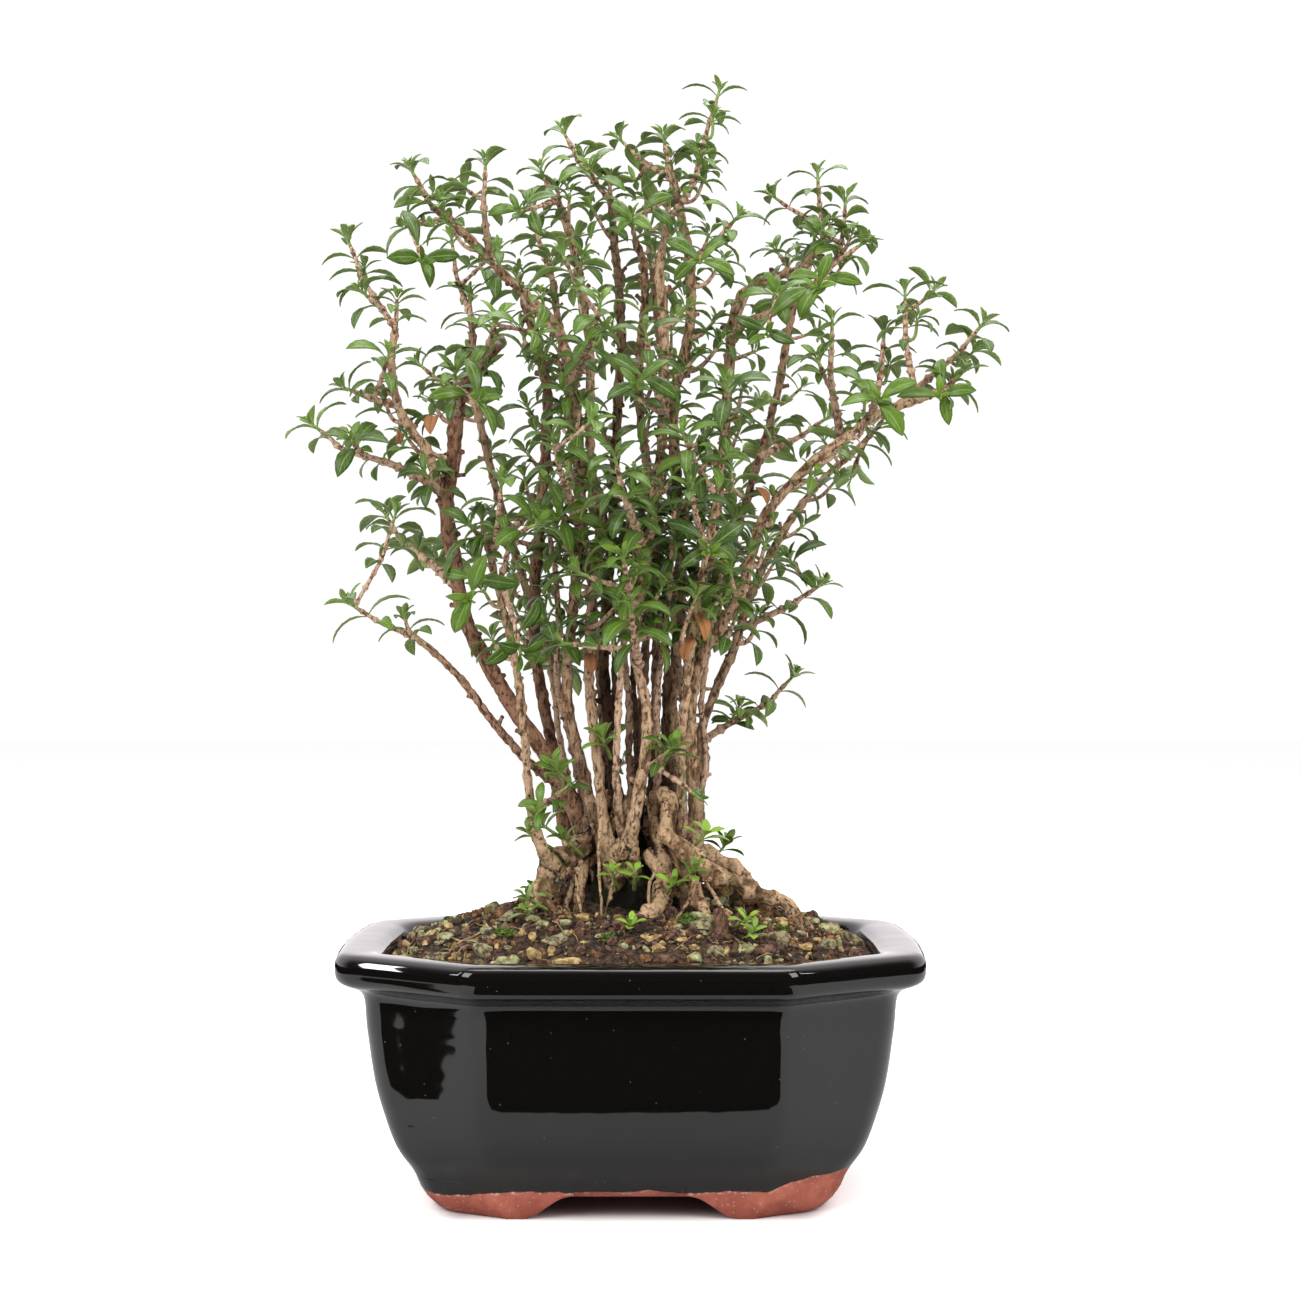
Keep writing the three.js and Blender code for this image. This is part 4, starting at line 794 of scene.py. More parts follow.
class Graph:
    """A shader node tree that is built by short calls, which return output sockets."""

    def __init__(self, tree):
        self.tree = tree

    def node(self, kind, settings=None, **inputs):
        made = self.tree.nodes.new("ShaderNode" + kind)
        for key, value in (settings or {}).items():
            setattr(made, key, value)
        self.feed_all(made.inputs, **inputs)
        return made

    def feed(self, socket, value):
        if isinstance(value, bpy.types.NodeSocket):
            self.tree.links.new(value, socket)
        else:
            socket.default_value = value

    def feed_all(self, sockets, **values):
        for key, value in values.items():
            self.feed(sockets[key.replace("_", " ")], value)

    def math(self, operation, *values, clamp=False):
        made = self.node("Math", {"operation": operation, "use_clamp": clamp})
        for i, value in enumerate(values):
            self.feed(made.inputs[i], value)
        return made.outputs[0]

    def times(self, a, b):
        return self.math("MULTIPLY", a, b)

    def plus(self, a, b, clamp=False):
        return self.math("ADD", a, b, clamp=clamp)

    def scaled(self, value, factor, start):
        return self.math("MULTIPLY_ADD", value, factor, start)

    def most(self, a, b):
        return self.math("MAXIMUM", a, b)

    def grey(self, value):
        """One value as all three parts of a colour or a size."""
        return self.node("CombineXYZ", X=value, Y=value, Z=value).outputs[0]

    def vector(self, operation, *values):
        made = self.node("VectorMath", {"operation": operation})
        for i, value in enumerate(values):
            self.feed(made.inputs[i], value)
        return made.outputs[0]

    def blend(self, factor, a, b, way="MIX"):
        made = self.node("Mix", {"data_type": "RGBA", "blend_type": way})
        for index, value in ((0, factor), (6, a), (7, b)):
            self.feed(made.inputs[index], value)
        return made.outputs[2]

    def between(self, value, low, high, start=0.0, end=1.0):
        """A smooth step from start to end as the value goes from low to high."""
        made = self.node("MapRange", {"interpolation_type": "SMOOTHSTEP"})
        for name, setting in (("Value", value), ("From Min", low), ("From Max", high),
                              ("To Min", start), ("To Max", end)):
            self.feed(made.inputs[name], setting)
        return made.outputs["Result"]

    def noise(self, place, size, detail=3.0, roughness=0.55):
        made = self.node("TexNoise", Vector=place, Scale=1 / size, Detail=detail, Roughness=roughness)
        return made.outputs["Fac"]

    def cells(self, place, size, feature="F1", output="Distance"):
        made = self.node("TexVoronoi", {"feature": feature}, Vector=place, Scale=1 / size)
        return made.outputs[output]

    def place(self, stretch=(1.0, 1.0, 1.0)):
        """The surface's place in millimetres, squeezed so that marks stretch along an axis."""
        coordinates = self.node("TexCoord").outputs["Object"]
        scale = tuple(1 / (MM * amount) for amount in stretch)
        middle = tuple(value / amount for value, amount in zip(OUTLINE_MIDDLE, stretch))
        return self.vector("ADD", self.vector("MULTIPLY", coordinates, scale), middle)

    def value_of(self, name, output="Fac"):
        return self.node("Attribute", {"attribute_name": name}).outputs[output]

    def apart(self, vector):
        return self.node("SeparateXYZ", Vector=vector).outputs

    def use(self, group, **inputs):
        return self.node("Group", {"node_tree": group}, **inputs).outputs

    def bump(self, height, distance, strength=1.0):
        made = self.node("Bump", Height=height, Distance=distance * MM, Strength=strength)
        return made.outputs["Normal"]


def new_group(name, inputs, outputs):
    """A shader node group with named inputs and outputs, ready to be filled."""
    tree = bpy.data.node_groups.new(name, "ShaderNodeTree")
    for socket_name, kind, value in inputs:
        socket = tree.interface.new_socket(socket_name, in_out="INPUT", socket_type="NodeSocket" + kind)
        if value is not None:
            socket.default_value = value
    for socket_name, kind in outputs:
        tree.interface.new_socket(socket_name, in_out="OUTPUT", socket_type="NodeSocket" + kind)
    graph = Graph(tree)
    given = tree.nodes.new("NodeGroupInput").outputs
    result = tree.nodes.new("NodeGroupOutput").inputs
    return tree, graph, given, result


def new_material(name, **settings):
    """A material with one Principled surface, whose constant sockets are set directly."""
    material = bpy.data.materials.new(name)
    material.use_nodes = True
    tree = material.node_tree
    surface = tree.nodes["Principled BSDF"]
    for key, value in settings.items():
        surface.inputs[key.replace("_", " ")].default_value = value
    return material, Graph(tree), surface.inputs


# ---------------- effects that materials share


def mottling_group():
    """Two colours in soft patches with fine grain: terracotta, soil, stones, moss and plastic."""
    tree, graph, given, result = new_group(
        "mottling",
        [("Place", "Vector", None), ("Patch Size", "Float", 4.0), ("Grain Size", "Float", 0.5),
         ("Dark", "Color", (0.1, 0.1, 0.1, 1)), ("Light", "Color", (0.5, 0.5, 0.5, 1))],
        [("Color", "Color"), ("Height", "Float")],
    )
    patch_place = graph.vector("DIVIDE", given["Place"], graph.grey(given["Patch Size"]))
    grain_place = graph.vector("DIVIDE", given["Place"], graph.grey(given["Grain Size"]))
    patches = graph.noise(patch_place, 1.0, 4.0, 0.6)
    grain = graph.noise(grain_place, 1.0, 3.0, 0.6)
    share = graph.plus(graph.between(patches, 0.36, 0.64), graph.scaled(grain, 0.7, -0.35), clamp=True)
    graph.feed_all(result, Color=graph.blend(share, given["Dark"], given["Light"]),
                   Height=graph.scaled(grain, 0.6, patches))
    return tree


def specks_group():
    """Small scattered spots: the dust and the motes on the pot."""
    tree, graph, given, result = new_group(
        "specks",
        [("Place", "Vector", None), ("Spot Size", "Float", 0.4), ("Share", "Float", 0.3)],
        [("Mask", "Float")],
    )
    cell = graph.node("TexVoronoi", Vector=given["Place"], Scale=0.8)
    near = graph.between(cell.outputs["Distance"], graph.times(given["Spot Size"], 0.5),
                         given["Spot Size"], 1.0, 0.0)
    pick = graph.apart(cell.outputs["Color"])[0]
    chosen = graph.math("LESS_THAN", pick, given["Share"])
    graph.feed(result["Mask"], graph.times(near, chosen))
    return tree


def bark_group():
    """Flaking bark: pale ridges, darker furrows and dark scars, in three colours, with painted shade in the
    hollows of its relief and a paler tone, partly painted highlight, on its raised parts.
    """
    tree, graph, given, result = new_group(
        "bark",
        [("Place", "Vector", None), ("Pale", "Color", (0.5, 0.3, 0.2, 1)),
         ("Mid", "Color", (0.25, 0.14, 0.08, 1)), ("Dark", "Color", (0.06, 0.03, 0.015, 1)),
         ("Scars", "Float", 0.5), ("Relief", "Float", 0.0)],
        [("Color", "Color"), ("Height", "Float"), ("Roughness", "Float")],
    )
    place = given["Place"]
    wander = graph.node("TexNoise", Vector=place, Scale=0.35, Detail=2.0).outputs["Color"]
    bent = graph.vector("ADD", place, graph.vector("MULTIPLY", wander, (1.6, 1.6, 1.6)))
    broad = graph.noise(place, 6.0, 3.0)
    ridges = graph.noise(bent, 0.9, 5.0, 0.65)
    flakes = graph.cells(bent, 1.5)
    fine = graph.noise(place, 0.32, 2.0, 0.6)
    tone = graph.plus(graph.times(broad, 0.45), graph.times(ridges, 0.75))
    # Raised parts of the relief are paler: partly the bark's own tone, partly painted highlight.
    tone = graph.scaled(given["Relief"], 0.16, tone)
    pale = graph.between(tone, 0.46, 0.68)
    color = graph.blend(pale, given["Mid"], given["Pale"])
    furrow = graph.between(ridges, 0.33, 0.45, 1.0, 0.0)
    scar_limit = graph.scaled(given["Scars"], -0.28, 0.78)
    scar = graph.between(graph.noise(bent, 1.9, 3.0, 0.7), scar_limit, graph.plus(scar_limit, 0.07))
    dark = graph.most(graph.times(furrow, 0.75), scar)
    # Painted shade: the hollows of the relief turn dark.
    painted_hollow_shade = graph.between(given["Relief"], -0.3, -1.3, 0.0, 0.8)
    dark = graph.most(dark, painted_hollow_shade)
    color = graph.blend(dark, color, given["Dark"])
    shade = graph.between(fine, 0.3, 0.7, 0.82, 1.12)
    graph.feed(result["Color"], graph.blend(1.0, color, graph.grey(shade), "MULTIPLY"))
    height = graph.plus(ridges, graph.times(flakes, 0.5))
    height = graph.math("SUBTRACT", height, graph.times(dark, 0.5))
    graph.feed(result["Height"], graph.scaled(fine, 0.2, height))
    graph.feed(result["Roughness"], graph.between(tone, 0.3, 0.8, 0.9, 0.72))
    return tree


def veins_group():
    """A leaf's midrib and side veins, from its places across and along."""
    tree, graph, given, result = new_group(
        "leaf_veins",
        [("Across", "Float", 0.0), ("Along", "Float", 0.5)],
        [("Midrib", "Float"), ("Veins", "Float"), ("Height", "Float")],
    )
    aside = graph.math("ABSOLUTE", given["Across"])
    midrib = graph.between(aside, 0.03, 0.13, 1.0, 0.0)
    slant = graph.scaled(aside, -0.28, given["Along"])
    wave = graph.math("SINE", graph.times(slant, 44.0))
    veins = graph.between(wave, 0.72, 1.0)
    veins = graph.times(veins, graph.between(aside, 0.55, 0.95, 1.0, 0.0))
    graph.feed_all(result, Midrib=midrib, Veins=veins,
                   Height=graph.scaled(veins, -0.35, graph.times(midrib, -1.0)))
    return tree


MOTTLING = mottling_group()
SPECKS = specks_group()
BARK = bark_group()
VEINS = veins_group()

# ---------------- finishes

GLAZE_LINE = 7.6
GLAZE_LINE_WAVE = 1.6
TERRACOTTA = {"Dark": (0.29, 0.070, 0.041, 1), "Light": (0.44, 0.125, 0.080, 1)}
CHALK = (0.62, 0.45, 0.38, 1)
MOTE = (0.08, 0.07, 0.065, 1)
GLAZE = (0.0042, 0.0036, 0.0032, 1)
DULL_GLAZE = (0.011, 0.009, 0.0085, 1)


def pot_finish():
    """Black glaze down to a wavy line, and bare terracotta below it."""
    material, graph, surface = new_material("black_glaze_and_terracotta", Specular_IOR_Level=0.5, IOR=1.5)
    place = graph.place()
    x, y, z = graph.apart(place)[:3]
    flat = graph.vector("MULTIPLY", place, (1.0, 1.0, 0.0))
    wave = graph.times(graph.math("SUBTRACT", graph.noise(flat, 11.0, 4.0), 0.5), 2 * GLAZE_LINE_WAVE)
    corner = graph.times(graph.between(x, 34.0, 54.0), graph.between(y, 10.0, -25.0))
    line = graph.plus(graph.scaled(corner, 3.6, GLAZE_LINE), wave)
    line = graph.scaled(graph.between(x, -34.0, -52.0), -2.2, line)
    above = graph.math("SUBTRACT", z, line)
    glazed = graph.between(above, -0.18, 0.18)
    clay = graph.use(MOTTLING, Place=place, Patch_Size=9.0, Grain_Size=0.45, **TERRACOTTA)
    chalk = graph.times(graph.between(graph.math("ABSOLUTE", above), 0.2, 1.1, 1.0, 0.0),
                       graph.between(graph.noise(place, 1.4, 4.0, 0.7), 0.5, 0.62))
    dust = graph.use(SPECKS, Place=graph.vector("MULTIPLY", place, (1.6, 1.6, 1.6)), Spot_Size=0.32,
                     Share=0.22)["Mask"]
    powder = graph.most(graph.times(chalk, 0.7), graph.times(dust, 0.55))
    clay_color = graph.blend(powder, clay["Color"], CHALK)
    motes = graph.use(SPECKS, Place=graph.vector("MULTIPLY", place, (0.55, 0.55, 0.55)), Spot_Size=0.1,
                      Share=0.16)["Mask"]
    smear = graph.between(graph.noise(place, 7.0, 5.0, 0.65), 0.56, 0.68)
    low = graph.between(z, 34.0, 14.0)
    glaze_color = graph.blend(graph.times(smear, low), GLAZE, DULL_GLAZE)
    glaze_color = graph.blend(motes, glaze_color, MOTE)
    graph.feed(surface["Base Color"], graph.blend(glazed, clay_color, glaze_color))
    film = graph.times(graph.times(smear, low), 0.10)
    gloss = graph.plus(film, graph.scaled(motes, 0.4, 0.045))
    rough = graph.plus(graph.times(gloss, glazed), graph.times(graph.math("SUBTRACT", 1.0, glazed), 0.82))
    graph.feed(surface["Roughness"], rough)
    ripple = graph.times(graph.noise(place, 16.0, 2.0, 0.4), 0.55)
    clay_height = graph.times(clay["Height"], graph.math("SUBTRACT", 1.0, glazed))
    height = graph.plus(graph.times(clay_height, 0.25),
                        graph.times(glazed, graph.scaled(ripple, 1.0, 0.5)))
    graph.feed(surface["Normal"], graph.bump(height, 0.35))
    return material


def mottled_finish(name, dark, light, patch, grain, roughness, depth, **settings):
    material, graph, surface = new_material(name, Roughness=roughness, **settings)
    place = graph.place()
    parts = graph.use(MOTTLING, Place=place, Patch_Size=patch, Grain_Size=grain, Dark=(*dark, 1),
                      Light=(*light, 1))
    graph.feed_all(surface, Base_Color=parts["Color"], Normal=graph.bump(parts["Height"], depth))
    return material


ALGAE = {"color": (0.22, 0.18, 0.08, 1), "from": 128, "to": 92, "share": 0.32}
PAINTED_SHADE_TINT = (0.14, 0.10, 0.08, 1)  # what a stem's colours are multiplied by where it is shaded: painted shade on the stems, and a darker tone at random on the twigs
# Soil and moss colours for the gaps between the crown's roots, kept very dark as painted shade.
POCKET_SOIL_AND_SHADE = (0.009, 0.006, 0.003, 1)
POCKET_MOSS_AND_SHADE = (0.026, 0.028, 0.008, 1)


def bark_finish(name, pale, mid, dark, scars, depth, red=None, stretch=(1.0, 1.0, 2.4)):
    """Bark whose colours may turn redder from stem to stem and greenish low down, with painted shade on the
    shaded stems, and dark soil colour with painted shade in the pockets.
    """
    material, graph, surface = new_material(name, Specular_IOR_Level=0.25)
    place = graph.place(stretch)
    colors = {"Pale": (*pale, 1), "Mid": (*mid, 1)}
    if red is not None:
        redness = graph.value_of("redness")
        colors = {key: graph.blend(redness, value, (*red[key], 1)) for key, value in colors.items()}
    parts = graph.use(BARK, Place=place, Dark=(*dark, 1), Scars=scars, Relief=graph.value_of("relief"),
                      **colors)
    spot = graph.place()
    low = graph.between(graph.apart(spot)[2], ALGAE["from"], ALGAE["to"], 0.0, ALGAE["share"])
    patches = graph.noise(spot, 7.0, 4.0, 0.6)
    green = graph.times(low, graph.between(patches, 0.5, 0.64))
    color = graph.blend(green, parts["Color"], ALGAE["color"])
    # Painted shade: the shade attribute darkens the bark of stems that stand in shadow among the others.
    color = graph.blend(graph.value_of("shade"), color, PAINTED_SHADE_TINT, "MULTIPLY")
    # The gaps between roots: soil and moss colour, darkened as painted shade.
    pocket_fill_and_shade = graph.blend(graph.between(patches, 0.5, 0.6), POCKET_SOIL_AND_SHADE, POCKET_MOSS_AND_SHADE)
    graph.feed_all(surface, Base_Color=graph.blend(graph.value_of("pocket_soil_and_shade"), color, pocket_fill_and_shade),
                   Roughness=parts["Roughness"], Normal=graph.bump(parts["Height"], depth))
    return material


FRESH_LEAF = (0.25, 0.45, 0.03, 1)


def leaf_finish(name, old, young, rib, roughness, depth, **settings):
    """A leaf's face: its tone goes from old to young, with a paler midrib and side veins."""
    material, graph, surface = new_material(name, **settings)
    across, along, tone = graph.apart(graph.value_of("leaf_place", "Vector"))[:3]
    veins = graph.use(VEINS, Across=across, Along=along)
    place = graph.place()
    patch = graph.noise(place, 2.2, 3.0)
    share = graph.plus(tone, graph.scaled(patch, 0.4, -0.2), clamp=True)
    color = graph.blend(share, (*old, 1), (*young, 1))
    color = graph.blend(graph.between(tone, 0.95, 1.6), color, FRESH_LEAF)
    root = graph.between(along, 0.0, 0.3, 0.55, 0.0)
    pale = graph.most(graph.times(veins["Midrib"], 0.6), graph.times(veins["Veins"], 0.16))
    margin = graph.between(graph.math("ABSOLUTE", across), 0.82, 1.0, 0.0, 0.3)
    pale = graph.most(graph.most(pale, margin), root)
    graph.feed(surface["Base Color"], graph.blend(pale, color, (*rib, 1)))
    graph.feed(surface["Roughness"], graph.between(patch, 0.3, 0.7, roughness - 0.06, roughness + 0.12))
    graph.feed(surface["Normal"], graph.bump(veins["Height"], depth))
    return material


MOTTLED = {  # name, dark, light, size of its patches and of its grain, roughness, depth of its relief
    "screen": ("black_plastic_mesh", (0.012, 0.012, 0.012), (0.03, 0.03, 0.03), 6, 0.3, 0.6, 0.03),
    "soil": ("damp_soil", (0.006, 0.0035, 0.002), (0.105, 0.054, 0.027), 1.7, 0.5, 0.9, 0.9),
    "crumb": ("soil_crumbs", (0.012, 0.006, 0.003), (0.13, 0.065, 0.034), 4, 0.4, 0.92, 0.25),
    "bark_bit": ("bark_bits", (0.06, 0.022, 0.008), (0.30, 0.14, 0.055), 1.4, 0.3, 0.9, 0.2),
    "green_stone": ("pale_green_stone", (0.17, 0.14, 0.035), (0.41, 0.44, 0.24), 1.7, 0.4, 0.85, 0.3),
    "tan_stone": ("tan_stone", (0.20, 0.11, 0.03), (0.56, 0.41, 0.18), 1.8, 0.4, 0.8, 0.25),
    "lava_stone": ("lava_stone", (0.04, 0.017, 0.011), (0.22, 0.12, 0.08), 1.5, 0.4, 0.95, 0.5),
    "grey_stone": ("grey_stone", (0.05, 0.036, 0.018), (0.35, 0.30, 0.16), 1.6, 0.4, 0.9, 0.3),
    "moss": ("moss", (0.022, 0.04, 0.005), (0.14, 0.22, 0.02), 1.6, 0.3, 0.8, 0.1),
    "straw": ("straw", (0.16, 0.09, 0.04), (0.46, 0.30, 0.15), 3, 0.3, 0.8, 0.05),
    "rootlet": ("rootlets", (0.012, 0.008, 0.006), (0.05, 0.03, 0.02), 3, 0.3, 0.9, 0.05),
    "cut_wood": ("sawn_wood", (0.16, 0.12, 0.09), (0.42, 0.34, 0.27), 1.6, 0.4, 0.9, 0.2),
    "shoot": ("green_shoot", (0.12, 0.20, 0.03), (0.26, 0.36, 0.08), 2.5, 0.3, 0.55, 0.03),
}
FINISHES = {
    **{key: mottled_finish(*looks) for key, looks in MOTTLED.items()},
    "pot": pot_finish(),
    "bark": bark_finish("stem_bark", (0.58, 0.385, 0.235), (0.235, 0.13, 0.066), (0.035, 0.015, 0.008), 0.5,
                        0.85, red={"Pale": (0.34, 0.175, 0.105), "Mid": (0.15, 0.065, 0.037)}),
    "root_bark": bark_finish("root_bark", (0.64, 0.42, 0.25), (0.26, 0.145, 0.072), (0.035, 0.016, 0.008),
                             0.58, 1.1, stretch=(1.3, 1.3, 1.6)),
    "twig_bark": bark_finish("twig_bark", (0.60, 0.40, 0.27), (0.23, 0.12, 0.072), (0.035, 0.015, 0.009),
                             0.52, 0.35, stretch=(0.8, 0.8, 1.2)),
    "dead_bark": bark_finish("dead_bark", (0.20, 0.11, 0.065), (0.10, 0.05, 0.028), (0.02, 0.010, 0.006),
                             0.5, 0.5),
    "leaf_top": leaf_finish("leaf_upper_face", (0.034, 0.076, 0.006), (0.135, 0.25, 0.010),
                            (0.27, 0.40, 0.09), 0.34, 0.10, Specular_IOR_Level=0.5),
    "leaf_under": leaf_finish("leaf_underside", (0.13, 0.20, 0.05), (0.22, 0.33, 0.06), (0.34, 0.44, 0.16),
                              0.55, 0.05),
    "dead_leaf": leaf_finish("dead_leaf", (0.22, 0.085, 0.03), (0.46, 0.19, 0.06), (0.30, 0.14, 0.06),
                             0.7, 0.2),
}


# ---------------- pot

POT_PROFILE_STEP = 1.15
CORNER_STEPS = 10
EDGE_SPLITS = 6
POT_FLOOR = 13
POT_WALL_ROWS = 6
POT_SHARP = 38
SIDE_BOW = 2.6  # how far the pot's two end panels curve out, from their corners to their middles
SIDE_BOW_INSET = 1.3  # how far their corners lie in
BASE_SPREAD = 2.6  # how much deeper the pot is at its base, and how much more so at its corners
CORNER_SPREAD = 3.4
SOFT_CORNER_RADIUS = 9.5
HOLE_SIDES = 48
FOOT_SLOPE = [(0, 9), (0.9, 5.8), (2.1, 3.2), (3.7, 1.1), (5.6, 0)]  # inset, height above its bottom
FOOT_BACK = [(9.4, 0), (10.4, 0.5), (11, 1.6), (11, 9)]
FOOT_LEAN = [1.5, 0.35]  # how much of the slope its side face and its front face have
FOOT_SIDE_EXTRA = 4
FOOT_FINE_INSET = 21.8
FOOT_FINE_SCOOP = [[0, 6.6], [3.6, 5.6], [7, 3.4], [10, 1.3], [13.5, 0]]
FOOT_STEP = 0.9


def rim_edges():
    """The rim's eight straight edges: the angle that each faces, and its distance."""
    tilt = math.atan2(RIM_HALF_WIDTH - FRONT_CORNER_X, RIM_HALF_DEPTH - SIDE_CORNER_Y)
    reach = math.cos(tilt) * FRONT_CORNER_X + math.sin(tilt) * RIM_HALF_DEPTH
    quarter = [(0, RIM_HALF_WIDTH), (tilt, reach), (QUARTER, RIM_HALF_DEPTH), (math.pi - tilt, reach)]
    return [*quarter, *((angle + math.pi, distance) for angle, distance in quarter)]


def pot_outline(inset, height, steps=CORNER_STEPS, splits=EDGE_SPLITS, rounding=SOFT_CORNER_RADIUS):
    """The pot's rounded outline at one inset from the rim and one height."""
    edges = rim_edges()
    arcs = []
    for (angle, distance), (next_angle, next_distance) in zip(edges, [*edges[1:], edges[0]]):
        turn = (next_angle - angle) % TURN
        a, b = (reach - inset - rounding for reach in (distance, next_distance))
        cross = math.sin(next_angle - angle)
        x = (a * math.sin(next_angle) - b * math.sin(angle)) / cross
        y = (b * math.cos(angle) - a * math.cos(next_angle)) / cross
        turns = angle + turn * np.arange(steps + 1) / steps
        arcs.append(np.stack([x + rounding * np.cos(turns), y + rounding * np.sin(turns)], axis=1))
    ring = []
    shares = np.arange(1, splits)[:, None] / splits
    for arc, after in zip(arcs, [*arcs[1:], arcs[0]]):
        ring += [arc, mix(arc[-1], after[0], shares)]
    flat = np.concatenate(ring)
    if splits > 1:
        bow = np.clip(1 - (flat[:, 1] / (SIDE_CORNER_Y + 2)) ** 2, 0, 1) * SIDE_BOW - SIDE_BOW_INSET
        aside = np.clip((np.abs(flat[:, 0]) - FRONT_CORNER_X) / 20, 0, 1)
        flat[:, 0] += np.sign(flat[:, 0]) * bow * aside
        corner = CORNER_SPREAD * np.interp(height, [8, 25], [1, 0])
        spread = BASE_SPREAD * np.interp(height, [8, 56], [1, 0])
        spread = spread + corner * np.clip((np.abs(flat[:, 0]) - 34) / 20, 0, 1)
        flat[:, 1] += np.sign(flat[:, 1]) * spread * np.clip(np.abs(flat[:, 1]) / 30, 0, 1)
    return np.column_stack([flat, np.full(len(flat), height)])


def add_loft(shell, rings, finish=0, closing=(True, True)):
    """A body through closed rings of equal length, with flat ends."""
    columns = len(rings[0])
    points = [*rings, [np.mean(rings[0], axis=0)], [np.mean(rings[-1], axis=0)]]
    count = len(rings) * columns
    faces = [grid_faces(len(rings), columns)]
    if closing[0]:
        faces.append(fan_faces(0, columns, count, True))
    if closing[1]:
        faces.append(fan_faces(count - columns, columns, count + 1))
    shell.add(np.vstack(points), faces, finish)


def carve(thing, other, operation, sharp_angle):
    """Joins another mesh to one, or cuts it away, and keeps only the result."""
    change = thing.modifiers.new("carve", "BOOLEAN")
    change.operation = operation
    change.solver = "MANIFOLD"
    change.object = other
    bake_modifiers(thing)
    thing.data.set_sharp_from_angle(angle=math.radians(sharp_angle))
    bpy.data.objects.remove(other)


def bake_modifiers(thing):
    shape = thing.evaluated_get(bpy.context.evaluated_depsgraph_get())
    mesh = bpy.data.meshes.new_from_object(shape)
    old = thing.data
    thing.modifiers.clear()
    thing.data = mesh
    bpy.data.meshes.remove(old)


def foot_rings(sign_x, sign_y):
    """Sections along one foot: it is scooped at both ends and leans in towards its bottom."""
    outline = pot_outline(FOOT_FINE_INSET, 0, splits=3)
    quarter = outline[(outline[:, 0] > 0) & (outline[:, 1] > 0)]
    quarter = quarter[np.argsort(np.arctan2(quarter[:, 1], quarter[:, 0]))]
    scoop, _, _ = smooth_path([[run, height, 0] for run, height in FOOT_FINE_SCOOP], FOOT_STEP)
    stations = [(quarter[0, 0], FOOT_SIDE_END_Y + run, height, 0.0) for run, height, _ in scoop]
    corner = quarter[(quarter[:, 1] > stations[-1][1]) & (quarter[:, 0] > FOOT_FRONT_END_X + scoop[-1][0])]
    share = np.arange(len(corner)) / (len(corner) - 1)
    stations += [(x, y, 0.0, 90 * t) for (x, y, _), t in zip(corner, share)]
    stations += [(FOOT_FRONT_END_X + run, quarter[-1, 1], height, 90.0) for run, height, _ in scoop[::-1]]
    rings = []
    for x, y, bottom, facing in stations:
        bottom = max(bottom, 0.0)
        room = (FOOT_TOP - bottom) / FOOT_TOP
        turn = math.radians(facing)
        extra = FOOT_SIDE_EXTRA * (1 - facing / 90)
        section = [(inward * room * FOOT_LEAN[0], inward * room * FOOT_LEAN[1], bottom + rise * room)
                   for inward, rise in FOOT_SLOPE]
        section += [(inward + extra, inward + extra, bottom + rise * room) for inward, rise in FOOT_BACK]
        ring = [((x - across * math.cos(turn)) * sign_x, (y - deep * math.sin(turn)) * sign_y, height)
                for across, deep, height in section]
        rings.append(np.array(ring))
    return rings if sign_x * sign_y > 0 else [ring[::-1] for ring in rings]


def make_pot():
    wall = [row for row in POT_OUTSIDE if row[1] < POT_LIP[0][1]][:POT_WALL_ROWS]
    profile = [(inset, height, 0) for inset, height in [*wall, *POT_LIP, *POT_INSIDE]]
    path, _, _ = smooth_path(profile, POT_PROFILE_STEP)
    path[:, 0] = np.maximum(path[:, 0], 0)
    body = Shell()
    add_loft(body, [pot_outline(inset, height) for inset, height, _ in path])
    pot = body.thing("glazed_pot", ["pot"], POT_SHARP)
    feet, holes = Shell(), Shell()
    turns = around(HOLE_SIDES)
    for side in (-1, 1):
        for end in (-1, 1):
            add_loft(feet, foot_rings(side, end))
        x, y = side * DRAIN_X + DRAIN_RADIUS * np.cos(turns), DRAIN_RADIUS * np.sin(turns)
        add_loft(holes, [np.column_stack([x, y, np.full(HOLE_SIDES, z)]) for z in (-1, 2 * POT_FLOOR)])
    carve(pot, feet.thing("feet", ["pot"]), "UNION", POT_SHARP)
    carve(pot, holes.thing("holes", ["pot"]), "DIFFERENCE", POT_SHARP)
    settle(pot, ["pot"])


# ---------------- soil and what lies on it

WALL_GAP = 0.45
SOIL_COLUMNS = {"steps": 9, "splits": 14}
SOIL_ROWS = 64
SOIL_LUMPS = [(7.5, 0.7), (2.8, 0.9), (1.15, 0.5)]  # size, height
SOIL_BANK = 1.7  # how much higher it lies along the wall
SOIL_HILLS = [[-15, 9, 11, 9], [26, 8, 10, 7]]  # x, y, reach and height of the soil heaped behind the roots
STONE_KINDS = ["green_stone", "tan_stone", "lava_stone", "grey_stone"]
PEBBLE_KINDS = [0, 0, 1, 2, 0, 3]
PEBBLE_COUNT = 12
PEBBLE_RADII = [2, 3.8]
PEBBLE_TRIES = 200
PEBBLE_CLEAR_OF_WOOD = 26
PEBBLE_SHARES = [0.3, 0.88]
PEBBLE_SCATTER = 7
PEBBLE_SPACING = 1.2
PEBBLE_SHOWING = 0.12
PEBBLE_FIELD_INSET = 16
PEBBLE_FIELD_LIMIT = 0.93
PEBBLE_SEED = 41
SOLID_CORNER_STEPS = 2
CRUMB_COUNT = 4300
SMALL_STONE_COUNT = 470
STONE_SIZES = [0.8, 3.9]
STONE_CHANCE = ([0.3, 0.75], [0.12, 1.0])  # share of the way out, how likely a stone lies there
FINE_STONE_SIZE = 1.5
FIBRE_COUNT = 220
